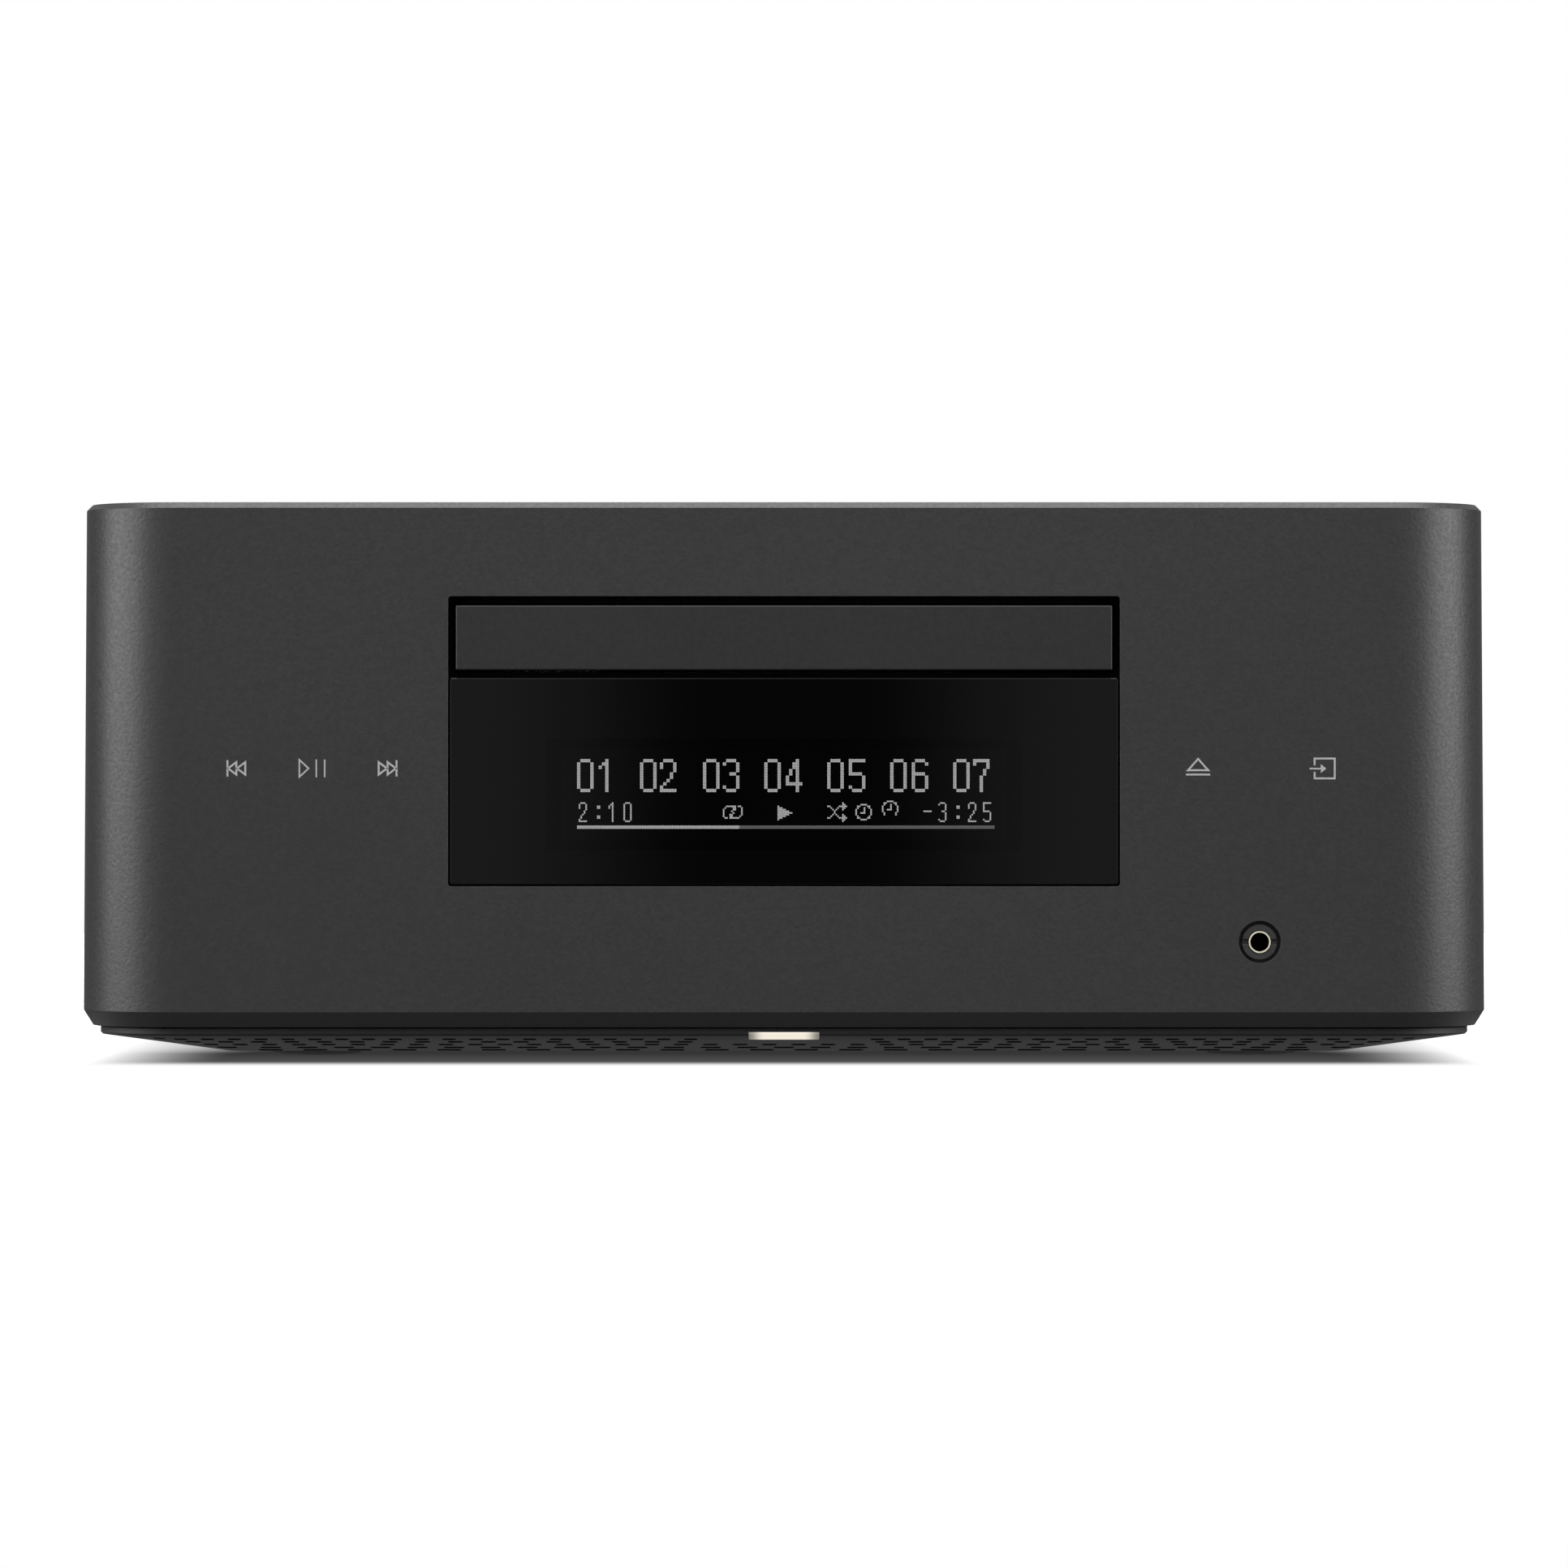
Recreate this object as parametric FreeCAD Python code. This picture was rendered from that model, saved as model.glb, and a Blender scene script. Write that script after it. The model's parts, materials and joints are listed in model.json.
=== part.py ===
import FreeCAD, Part
import math
import os

from FreeCAD import Vector

# CD receiver. Millimetres, +Z up, the front faces -Y, +X is to the right seen from the front.
# The origin is on the floor, under the middle of the whole receiver with its rear sockets.

# Case
case_width = 280.8
case_depth = 290.0
case_height = 110.85
rear_reach = 13.0
wall = 2.6
deck = 2.0
corner_r = 19.5
rear_corner_r = 3.0
side_draft = 0.63
top_chamfer = 1.15
lip_z = 6.85
lip_chamfer_in = 1.9
lip_chamfer_up = 3.05
flange_reach = 3.4
flange_t = 2.5
front_return = 33.5
seam = 0.2
top_plate_t = 2.2
top_plate_border = 3.2
top_plate_sink = 0.1
fit_gap = 0.2

# Base pan with its sloping underside, vent slots and light bar
pan_inset = 3.4
pan_gap = 0.28
pan_edge_z = 5.1
pan_edge_chamfer = 0.4
pan_slope_run = 28.9
pan_side_run = 23.6
pan_foot_r = 4.0
pan_t = 1.6
foot_height = 1.0
foot_r = 9.0
foot_spigot_r = 3.0
foot_inset = 45.0
slot_length = 2.9
slot_corner_r = 0.7
light_width = 14.1
light_drop = 0.57
light_run = 7.4
light_t = 1.6
light_stem_run = 3.4
screw_boss_r = 4.5
screw_r = 1.5
screw_head_r = 2.8
screw_head_h = 1.9
screw_length = 10.0
screw_inset_x = 18.0

# Vent slot rows: set back from the pan's front edge, pitch, slot width, first slot, slots a side
slot_rows = [
    (6.9, 5.35, 2.7, 18.6, 20),
    (11.9, 6.56, 3.1, 19.8, 16),
    (16.9, 5.90, 3.0, 2.95, 20),
    (22.5, 7.39, 4.1, 0.0, 15),
    (27.3, 9.03, 4.9, 4.515, 12),
]
# One more slot at each end of two rows: set back, slot width, distance from the middle
end_slots = [
    (6.9, 2.45, 124.5),
    (22.5, 4.1, 112.3),
]

# Opening in the front, tray cover and display window
disc_r = 60.0
disc_t = 1.2
well_gap = 1.0
tray_rim = 2.5
cover_overhang = 1.45
cover_h = 12.8
cover_t = 3.4
cover_chamfer = 0.2
cover_sink = 0.1
cover_gap_side = 1.5
cover_gap_top = 1.8
cover_gap_bottom = 1.4
opening_drop = 18.65
opening_corner_r = 0.6
window_h = 41.4
window_sink = 0.2
window_chamfer = 0.3
bay_t = 2.0
bay_margin = 3.5
tunnel_gap = 0.45
tunnel_wall = 1.5
tunnel_run = 12.9
display_w = 90.0
display_h = 20.0
display_rise = 18.2
display_glass_t = 2.0
board_t = 1.6

# Front controls
headphone_x = 94.1
headphone_z = 23.8
headphone_bore_r = 1.85
headphone_bush_r = 2.2
headphone_bore_run = 13.5
headphone_body = 12.0
headphone_nut_r = 3.55
headphone_nut_t = 1.2
headphone_recess_r = 4.17
headphone_recess = 1.7
headphone_bush_sink = 0.3
front_board_run = 13.0
front_board_h = 17.0
front_board_left = 60.0
front_board_right = 108.0
boss_r = 3.0
touch_board_w = 46.0
touch_board_h = 16.0
touch_board_x = 95.0
touch_board_z = 58.5

# Tray
tray_sink = 2.0
well_depth = 5.0
tray_floor = 2.0
small_disc_r = 40.5
small_disc_step = 0.8
tray_nose = 3.0
tray_slot_half = 19.0
tray_tail = 48.0
tray_travel = 142.0
rack_height = 3.2
rack_back = 2.75
rack_inset = 3.5

# Loader frame, lift slider and gears
slide_gap = 0.3
frame_gap = 0.4
frame_wall = 3.5
frame_h = 35.2
rail_w = 3.0
lip_w = 2.4
lip_t = 2.5
frame_front = 18.5
frame_tail = 8.0
shelf_z_below_tray = 15.4
shelf_run = 19.5
shelf_t = 2.0
crossbar_run = 6.5
crossbar_h = 4.0
flange_in = 18.9
flange_frame_t = 2.0
pivot_web = 8.0
gear_module = 1.0
gear_teeth = 18
wheel_module = 0.8
wheel_teeth = 26
pinion_teeth = 14
pressure_angle = 20.0
backlash = 0.12
wheel_t = 3.0
axle_r = 1.5
running_gap = 0.05
gear_line = 11.0
pulley_groove_r = 10.2
pulley_lip = 0.9
pulley_t = 3.0
motor_pulley_groove_r = 2.9
motor_offset = 31.0
belt = 1.2
belt_gap = 0.2
loading_motor_r = 10.0
loading_motor_h = 13.5
motor_shaft_r = 1.0
slider_t = 1.6
slider_h = 17.0
slider_travel = 20.0
lift_drop = 10.0
pin_r = 1.5
pin_spacing = 30.0
pin_gap = 0.3

# Traverse with the spindle and the pickup
traverse_half = 36.0
traverse_front = 23.0
traverse_wall = 2.0
traverse_h = 12.0
traverse_plate_t = 2.0
traverse_drop = 3.4
pivot_r = 2.0
pivot_length = 4.6
pivot_back = 2.0
disc_lift = 1.6
turntable_r = 14.0
turntable_t = 1.4
cone_r = 7.4
cone_h = 2.7
turntable_boss_r = 5.5
spindle_motor_r = 10.5
spindle_motor_h = 8.0
rod_r = 1.5
rod_spacing = 36.0
rod_drop = 7.5
lens_start = 23.0
sled_travel = 35.0
sled_end_gap = 8.0
sled_run = 18.0
sled_half = 24.0
sled_body_h = 6.0
sled_top_half = 15.0
lens_r = 3.2
lens_gap = 1.4
screw_x = 27.6
screw_thread_r = 1.7
screw_core_r = 1.3
screw_pitch = 3.0
sled_motor_r = 5.2
sled_motor_l = 15.0

# Clamp, bracket and dampers
bridge_t = 1.2
bridge_half = 22.0
bridge_hole_r = 14.5
puck_r = 13.0
puck_flange_r = 17.5
puck_flange_t = 1.4
puck_float = 0.4
puck_gap = 0.3
cone_recess_gap = 0.8
damper_r = 5.0
damper_h = 4.8
bracket_t = 1.2
bracket_side = 8.6
bracket_foot = 8.0
bracket_leg_w = 16.0

# Chassis and boards
chassis_t = 1.0
chassis_gap = 0.3
standoff_h = 6.0
standoff_r = 3.0
rear_panel_t = 1.2
rear_panel_sink = 1.0
rear_flange = 3.0
main_board_left = 70.0
main_board_right = 66.5
board_front_gap = 22.0
board_rear_gap = 2.0
power_board_left = 132.0
power_board_right = 86.0
power_board_front = 40.0
network_board_left = 68.5
network_board_right = 124.0
network_board_run = 70.0
heatsink_w = 60.0
heatsink_h = 42.0
heatsink_fin_run = 24.0
heatsink_fin_t = 1.6
heatsink_fins = 9
heatsink_base = 4.0
heatsink_y = 82.0
core_w = 30.0
core_d = 26.0
core_h = 28.0
core_back = 83.0
capacitor_r = 9.0
capacitor_h = 32.0
capacitor_gap = 2.0
capacitor_back = 150.0
filter_w = 30.0
filter_d = 12.0
filter_h = 14.0
filter_front = 38.0
fuse_box_d = 20.0
fuse_box_h = 18.0
fuse_box_front = 12.0
shield_margin = 8.0
shield_run = 32.0
shield_h = 4.0
ribbon_w = 22.0
ribbon_t = 0.4
ribbon_rise = 10.0
ribbon_bend = 2.5
ribbon_land = 6.0
vent_w = 2.4
vent_h = 12.0
vent_pitch = 8.0
vent_row_pitch = 18.0
vent_drop = 22.0
vents_in_row = 16

# Chips on the main board: x, set back from the board's front edge, width, depth, height
chips = [
    (0.0, 97.0, 20.0, 20.0, 1.6),
    (30.0, 137.0, 14.0, 14.0, 1.4),
    (-30.0, 137.0, 12.0, 12.0, 1.4),
    (-36.0, 187.0, 26.0, 26.0, 2.2),
    (20.0, 47.0, 10.0, 18.0, 3.0),
]

# Rear sockets
socket_gap = 0.25
terminal_x = -35.0
terminal_z = 31.0
terminal_pitch = 18.0
terminal_block_h = 24.0
terminal_block_t = 2.0
post_r = 3.0
post_bore_r = 2.0
post_bore_run = 11.0
cap_r = 7.0
cap_gap = 0.4
cap_end = 0.5
cap_grooves = 18
cap_groove_r = 0.6
phono_r = 4.15
phono_bore_r = 1.6
phono_run = 9.5
phono_pitch = 15.0
phono_x = 14.0
phono_z = 24.5
phono_bezel_r = 6.2
fm_x = 58.5
fm_z = 25.5
fm_r = 4.75
fm_bore_r = 1.2
fm_run = 10.0
network_x = 80.0
network_w = 16.0
network_h = 13.5
network_port_w = 11.8
network_port_h = 8.2
network_port_run = 12.0
usb_x = 98.5
usb_w = 14.5
usb_h = 7.2
usb_port_w = 12.5
usb_port_h = 5.1
usb_port_run = 9.0
usb_tongue_t = 1.6
optical_x = 114.0
optical_w = 10.0
optical_h = 10.5
optical_port = 6.2
optical_port_run = 7.0
inlet_x = -100.0
inlet_z = 30.0
inlet_w = 24.0
inlet_h = 16.0
inlet_port_w = 15.0
inlet_port_h = 7.2
inlet_port_run = 10.5
inlet_pin_r = 1.18
inlet_pin_pitch = 8.6
inlet_run = 16.0

# Rear aerials
aerial_x = 129.5
aerial_z = 93.0
aerial_length = 70.0
aerial_r = 3.8
aerial_tip_r = 3.0
aerial_base_r = 5.0
aerial_base_t = 3.0
aerial_pin_r = 1.4
aerial_reach = 7.5
aerial_tongue = 3.0
aerial_ear = 2.0
aerial_ear_gap = 0.3

# Places that follow from the sizes
half_w = case_width / 2
front_y = -(case_depth + rear_reach) / 2
rear_y = front_y + case_depth
inner_y = front_y + wall
rear_end_y = rear_y + rear_reach
split_y = front_y + front_return
top_plate_z = case_height - top_plate_sink - top_plate_t
cavity_top = top_plate_z - deck
flange_z = lip_z + flange_t
chassis_z = flange_z + chassis_t
board_z = chassis_z + standoff_h
board_top = board_z + board_t
panel_in_y = rear_y - rear_panel_sink - rear_panel_t
panel_out_y = rear_y - rear_panel_sink

pan_top = lip_z - pan_gap
pan_front_y = front_y + pan_inset
pan_rear_y = rear_y - pan_inset
pan_half = half_w - pan_inset
slope_in = pan_edge_chamfer + pan_slope_run
side_slope_in = pan_edge_chamfer + pan_side_run
pan_corner_r = corner_r - pan_inset

well_r = disc_r + well_gap
tray_half = well_r + tray_rim
cover_half = tray_half + cover_overhang
opening_half = cover_half + cover_gap_side
opening_top = case_height - opening_drop
cover_top = opening_top - cover_gap_top
cover_bottom = cover_top - cover_h
window_top = cover_bottom - cover_gap_bottom
window_bottom = window_top - window_h
cover_front_y = front_y + cover_sink
tray_front_y = cover_front_y + cover_t
display_z = window_bottom + display_rise

tray_top = cover_top - tray_sink
well_z = tray_top - well_depth
tray_bottom = well_z - tray_floor
disc_y = tray_front_y + tray_nose + well_gap + well_r
tray_rear_y = disc_y + well_r + tray_tail
rack_x = -(tray_half - rack_inset - rack_back)
rack_z = tray_bottom - rack_height

frame_half = tray_half + frame_gap
frame_out = frame_half + frame_wall
frame_top = tray_top + slide_gap + lip_t
frame_z = frame_top - frame_h
frame_front_y = front_y + frame_front
frame_rear_y = tray_rear_y + frame_tail
shelf_z = tray_bottom - shelf_z_below_tray
shelf_rear_y = frame_front_y + shelf_run
gear_r = gear_module * gear_teeth / 2
wheel_r = wheel_module * wheel_teeth / 2
pinion_r = wheel_module * pinion_teeth / 2
gear_dedendum = 1.25
gear_x = rack_x + gear_module * gear_dedendum + gear_r
gear_y = frame_front_y + gear_line
pinion_x = gear_x + wheel_r + pinion_r
motor_x = pinion_x + motor_offset
pulley_z = shelf_z + shelf_t + slide_gap * 2
wheel_z = pulley_z + pulley_t + slide_gap * 3
gear_top = tray_bottom - slide_gap

disc_z = well_z + disc_lift
traverse_front_y = disc_y - traverse_front
lens_y = disc_y + lens_start
sled_window_rear_y = lens_y + sled_run / 2 + sled_travel + sled_end_gap
traverse_rear_y = sled_window_rear_y + traverse_wall * 2 + pivot_back
traverse_top = tray_bottom - traverse_drop
traverse_z = traverse_top - traverse_h
pivot_y = traverse_rear_y - pivot_back
rod_z = traverse_top - rod_drop
pin_z = rod_z + pin_r
pin_y = traverse_front_y - slide_gap * 8
slider_y = pin_y - slider_t
slider_z = frame_z + crossbar_h / 2
crossbar_y = slider_y - (crossbar_run - slider_t) / 2
lift_angle = math.degrees(math.asin(lift_drop / (pivot_y - slider_y - slider_t / 2)))
bracket_z = frame_z - damper_h
bracket_half = frame_out + bracket_side
damper_x = frame_out - flange_in / 2 - 1.0
post_spots = [terminal_x + terminal_pitch * step for step in (-1.5, -0.5, 0.5, 1.5)]

nodes = {}


# Plain solids and outlines
def block(x0, x1, y0, y1, z0, z1):
    return Part.makeBox(x1 - x0, y1 - y0, z1 - z0, Vector(x0, y0, z0))


def rod_along(axis, radius, x, y, z, length):
    return Part.makeCylinder(radius, length, Vector(x, y, z), axis)


def along_x(radius, x, y, z, length):
    return rod_along(Vector(1, 0, 0), radius, x, y, z, length)


def along_y(radius, x, y, z, length):
    return rod_along(Vector(0, 1, 0), radius, x, y, z, length)


def along_z(radius, x, y, z, length):
    return rod_along(Vector(0, 0, 1), radius, x, y, z, length)


def tube_y(outer, inner, x, y, z, length):
    return along_y(outer, x, y, z, length).cut(along_y(inner, x, y, z, length))


def tube_z(outer, inner, x, y, z, length):
    return along_z(outer, x, y, z, length).cut(along_z(inner, x, y, z, length))


def joined(shapes):
    return shapes[0].multiFuse(shapes[1:]).removeSplitter()


def edges_where(shape, test):
    return [edge for edge in shape.Edges if test(edge.BoundBox)]


def rounded_outline(corners, place):
    """Closed outline through four rounded corners, each (u, v, side of u, side of v, radius)."""
    diagonal = 1 - math.sqrt(0.5)
    arcs = []
    for index, (u, v, su, sv, r) in enumerate(corners):
        on_u = place(u + su * r, v)
        on_v = place(u, v + sv * r)
        middle = place(u + su * r * diagonal, v + sv * r * diagonal)
        ends = (on_u, on_v) if index % 2 == 0 else (on_v, on_u)
        arcs.append((ends[0], middle, ends[1]))
    edges = []
    for index, (start, middle, end) in enumerate(arcs):
        edges.append(Part.Arc(start, middle, end).toShape())
        edges.append(Part.LineSegment(end, arcs[(index + 1) % 4][0]).toShape())
    return Part.Wire(edges)


def soft_corners(u0, u1, v0, v1, radius):
    return [(u1, v0, -1, 1, radius), (u1, v1, -1, -1, radius),
            (u0, v1, 1, -1, radius), (u0, v0, 1, 1, radius)]


def soft_block_y(x0, x1, y0, y1, z0, z1, radius):
    outline = rounded_outline(soft_corners(x0, x1, z0, z1, radius), lambda x, z: Vector(x, y0, z))
    return Part.Face(outline).extrude(Vector(0, y1 - y0, 0))


def soft_block_z(x0, x1, y0, y1, z0, z1, radius):
    outline = rounded_outline(soft_corners(x0, x1, y0, y1, radius), lambda x, y: Vector(x, y, z0))
    return Part.Face(outline).extrude(Vector(0, 0, z1 - z0))


def plan_outline(z, half, y_front, y_rear, r_front, r_rear):
    """Rounded rectangle seen from above, with its own radius at the front and at the rear."""
    corners = [(half, y_front, -1, 1, r_front), (half, y_rear, -1, -1, r_rear),
               (-half, y_rear, 1, -1, r_rear), (-half, y_front, 1, 1, r_front)]
    return rounded_outline(corners, lambda x, y: Vector(x, y, z))


def plan_block(z0, z1, half, y_front, y_rear, r_front, r_rear):
    face = Part.Face(plan_outline(z0, half, y_front, y_rear, r_front, r_rear))
    return face.extrude(Vector(0, 0, z1 - z0))


def mirrored_pair(shape):
    return [shape, shape.mirror(Vector(0, 0, 0), Vector(1, 0, 0))]


def flat_sided_solid(outlines):
    """Solid through outlines of one pattern, stacked from the lowest up, whose straight sides stay flat."""
    faces = [Part.Face(outlines[0]), Part.Face(outlines[-1])]
    for low, high in zip(outlines, outlines[1:]):
        for below, above in zip(low.Edges, high.Edges):
            if isinstance(below.Curve, Part.Line):
                start, end = [Part.makeLine(a.Point, b.Point) for a, b in zip(below.Vertexes, above.Vertexes)]
                faces.append(Part.Face(Part.Wire([below, end, above, start])))
            else:
                faces.append(Part.makeRuledSurface(below, above))
    skin = Part.Shell(faces)
    skin.sewShape()
    solid = Part.Solid(skin)
    if solid.Volume < 0:
        solid.reverse()
    return solid


# Case shell: one moulding in shape, split behind the front corners
def case_section(z, side_inset, front_inset):
    return plan_outline(z, half_w - side_inset, front_y + front_inset, rear_y,
                        corner_r - front_inset, rear_corner_r)


def cavity_section(z, inset):
    return plan_outline(z, half_w - inset, inner_y, rear_y + rear_corner_r * 2,
                        corner_r - wall, rear_corner_r)


def case_shell():
    outer = flat_sided_solid([
        case_section(lip_z, lip_chamfer_in, lip_chamfer_in),
        case_section(lip_z + lip_chamfer_up, 0, 0),
        case_section(case_height - top_chamfer, side_draft, 0),
        case_section(case_height, side_draft + top_chamfer, top_chamfer),
    ])
    room = flat_sided_solid([
        cavity_section(flange_z, wall),
        cavity_section(cavity_top, wall + side_draft),
    ])
    flange_in_all = wall + flange_reach
    mouth = plan_block(0, flange_z, half_w - flange_in_all, front_y + flange_in_all,
                       rear_y + rear_corner_r * 2, corner_r - flange_in_all, rear_corner_r)
    recess = plan_block(top_plate_z, case_height + top_chamfer, half_w - top_plate_border,
                        front_y + top_plate_border, rear_y - top_plate_border,
                        corner_r - top_plate_border, rear_corner_r)
    return outer.cut([room, mouth, recess])


def front_part(shell):
    return shell.common(block(-case_width, case_width, front_y - wall, split_y, -wall, case_height * 2))


def rear_part(shell):
    return shell.common(block(-case_width, case_width, split_y + seam, rear_end_y, -wall, case_height * 2))


def board_boss_spots():
    z_low = chassis_z + boss_r * 2
    z_high = z_low + front_board_h - boss_r * 2
    spots = []
    for x in (-front_board_left + boss_r * 2, headphone_x - headphone_body):
        for z in (z_low, z_high):
            spots.append((x, z))
    return spots


def front_panel(shell):
    body = front_part(shell)
    opening = soft_block_y(-opening_half, opening_half, front_y - wall, inner_y + wall,
                           window_bottom, opening_top, opening_corner_r)
    recess = along_y(headphone_recess_r, headphone_x, front_y - wall, headphone_z,
                     wall + headphone_recess)
    bush_hole = along_y(headphone_bush_r + fit_gap, headphone_x, front_y, headphone_z, wall * 2)
    body = body.cut([opening, recess, bush_hole])
    bosses = [along_y(boss_r, x, inner_y - fit_gap, z, front_board_run + fit_gap)
              for x, z in board_boss_spots()]
    return joined([body] + bosses)


def top_plate():
    inset = top_plate_border + fit_gap
    plate = plan_block(top_plate_z, top_plate_z + top_plate_t, half_w - inset, front_y + inset,
                       rear_y - inset, corner_r - inset, rear_corner_r)
    upper = edges_where(plate, lambda b: b.ZMin > top_plate_z + top_plate_t - 1e-6)
    return plate.makeChamfer(window_chamfer, upper)


# Base pan
def pan_section(z, inset, side_inset, radius):
    rear_radius = max(rear_corner_r - inset, pan_t)
    return plan_outline(z, pan_half - side_inset, pan_front_y + inset, pan_rear_y - inset,
                        radius, rear_radius)


def pan_upright(z, inset):
    return pan_section(z, inset, inset, pan_corner_r - inset)


def pan_outer():
    return flat_sided_solid([
        pan_section(foot_height, slope_in, side_slope_in, pan_foot_r),
        pan_upright(pan_edge_z, pan_edge_chamfer),
        pan_upright(pan_edge_z + pan_edge_chamfer, 0),
        pan_upright(pan_top, 0),
    ])


def pan_skin():
    inner = flat_sided_solid([
        pan_section(foot_height + pan_t, slope_in, side_slope_in, pan_foot_r),
        pan_upright(pan_edge_z + pan_edge_chamfer + pan_t / 2, pan_t),
        pan_upright(pan_top + pan_t, pan_t),
    ])
    return pan_outer().cut(inner)


def screw_spots():
    x = pan_half - pan_t - slope_in
    rows = (pan_front_y + slope_in + screw_inset_x, (front_y + rear_y) / 2,
            pan_rear_y - slope_in - screw_inset_x)
    return [(side * x, y) for side in (-1, 1) for y in rows]


def foot_spots():
    return [(side * (half_w - foot_inset), y) for side in (-1, 1)
            for y in (front_y + foot_inset, rear_y - foot_inset)]


def vent_slot(x, back, width):
    y = pan_front_y + back
    return soft_block_z(x - width / 2, x + width / 2, y - slot_length / 2, y + slot_length / 2,
                        0, pan_top + pan_t, slot_corner_r)


def vent_slots():
    slots = []
    for back, pitch, width, first, count in slot_rows:
        places = {side * (first + pitch * step) for side in (-1, 1) for step in range(count)}
        slots += [vent_slot(x, back, width) for x in sorted(places)]
    for back, width, x in end_slots:
        slots += [vent_slot(side * x, back, width) for side in (-1, 1)]
    return slots


def light_notch(gap):
    x = light_width / 2 + gap
    return block(-x, x, pan_front_y - pan_t, pan_front_y + light_run + gap,
                 0, pan_top - light_drop + gap)


def base_pan():
    pan = pan_skin().cut(vent_slots() + [light_notch(0)])
    bosses = [along_z(screw_boss_r, x, y, foot_height, flange_z - foot_height)
              for x, y in screw_spots()]
    pan = joined([pan] + bosses)
    holes = []
    for x, y in screw_spots():
        holes.append(along_z(screw_r + running_gap, x, y, 0, flange_z * 2))
        holes.append(along_z(screw_head_r + fit_gap, x, y, 0, foot_height + fit_gap + screw_head_h))
    for x, y in foot_spots():
        holes.append(along_z(foot_spigot_r + running_gap, x, y, 0, pan_top))
    return pan.cut(holes)


def light_bar():
    face = pan_skin().common(light_notch(-running_gap))
    stem_x = light_width / 2 - light_t
    stem_y = pan_front_y + light_run - light_stem_run
    stem = block(-stem_x, stem_x, stem_y, stem_y + light_stem_run - fit_gap,
                 pan_edge_z, chassis_z + light_t)
    return joined([face, stem])


def foot(x, y):
    pad = along_z(foot_r, x, y, 0, foot_height)
    rim = edges_where(pad, lambda b: b.ZMax < 1e-6 and b.XLength > foot_r)
    pad = pad.makeFillet(foot_height / 3, rim)
    spigot = along_z(foot_spigot_r, x, y, foot_height / 2, foot_height / 2 + pan_t * 2)
    return joined([pad, spigot])


def case_screw(x, y):
    head_z = foot_height + fit_gap
    head = along_z(screw_head_r, x, y, head_z, screw_head_h)
    shank = along_z(screw_r, x, y, head_z + screw_head_h, screw_length)
    cross = screw_head_r * 1.2
    drive = [block(x - cross / 2, x + cross / 2, y - screw_r / 5, y + screw_r / 5, 0, head_z + screw_r / 2),
             block(x - screw_r / 5, x + screw_r / 5, y - cross / 2, y + cross / 2, 0, head_z + screw_r / 2)]
    return joined([head, shank]).cut(drive)


def chassis_plate():
    inset = wall + chassis_gap
    plate = plan_block(flange_z, chassis_z, half_w - inset, front_y + inset, panel_in_y - chassis_gap,
                       corner_r - inset, rear_corner_r)
    posts = [along_z(standoff_r, x, y, chassis_z, standoff_h) for x, y in standoff_spots()]
    stem_x = light_width / 2 - light_t + fit_gap
    stem_y = pan_front_y + light_run - light_stem_run
    slot = block(-stem_x, stem_x, stem_y - fit_gap, stem_y + light_stem_run, 0, chassis_z * 2)
    holes = [along_z(screw_r + running_gap, x, y, 0, chassis_z * 2) for x, y in screw_spots()]
    return joined([plate] + posts).cut([slot] + holes)


# Boards
def main_board_box():
    return (-main_board_left, main_board_right, inner_y + board_front_gap, panel_in_y - board_rear_gap)


def power_board_box():
    return (-power_board_left, -power_board_right, inner_y + power_board_front, panel_in_y - board_rear_gap)


def network_board_box():
    return (network_board_left, network_board_right,
            panel_in_y - board_rear_gap - network_board_run, panel_in_y - board_rear_gap)


def standoff_spots():
    spots = []
    for x0, x1, y0, y1 in (main_board_box(), power_board_box(), network_board_box()):
        margin = standoff_r * 1.5
        for x in (x0 + margin, x1 - margin):
            for y in (y0 + margin, y1 - margin):
                spots.append((x, y))
    return spots


def board(box):
    x0, x1, y0, y1 = box
    return block(x0, x1, y0, y1, board_z, board_top)


def on_board(x, y, width, depth, height):
    return block(x - width / 2, x + width / 2, y - depth / 2, y + depth / 2, board_top, board_top + height)


def main_board():
    y0 = main_board_box()[2]
    return joined([board(main_board_box())] + [on_board(x, y0 + back, w, d, h) for x, back, w, d, h in chips])


def power_board_middle():
    x0, x1 = power_board_box()[:2]
    return (x0 + x1) / 2


def power_board():
    y0 = power_board_box()[2]
    x = power_board_middle()
    fuse_box = on_board(x, y0 + fuse_box_front + fuse_box_d / 2, filter_w, fuse_box_d, fuse_box_h)
    mains_filter = on_board(x, y0 + filter_front + filter_d / 2, filter_w, filter_d, filter_h)
    return joined([board(power_board_box()), fuse_box, mains_filter])


def transformer():
    x = power_board_middle()
    y = power_board_box()[3] - core_back
    core = on_board(x, y, core_w, core_d / 2, core_h)
    winding = soft_block_z(x - core_w / 3, x + core_w / 3, y - core_d / 2, y + core_d / 2,
                           board_top + core_h / 6, board_top + core_h * 5 / 6, core_w / 8)
    return joined([core, winding])


def capacitors():
    pitch = capacitor_r * 2 + capacitor_gap
    y0 = power_board_box()[3] - capacitor_back
    cans = []
    for side in (-1, 1):
        for row in (0, 1):
            can = along_z(capacitor_r, power_board_middle() + side * pitch / 2, y0 + row * pitch,
                          board_top, capacitor_h)
            rim = edges_where(can, lambda b: b.ZMin > board_top + capacitor_h - 1e-6)
            cans.append(can.makeFillet(capacitor_r / 9, rim))
    return Part.makeCompound(cans)


def network_module():
    x0, x1, y0, y1 = network_board_box()
    can = block(x0 + shield_margin, x1 - shield_margin, y0 + shield_margin, y0 + shield_margin + shield_run,
                board_top, board_top + shield_h)
    return joined([board(network_board_box()), can])


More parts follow.
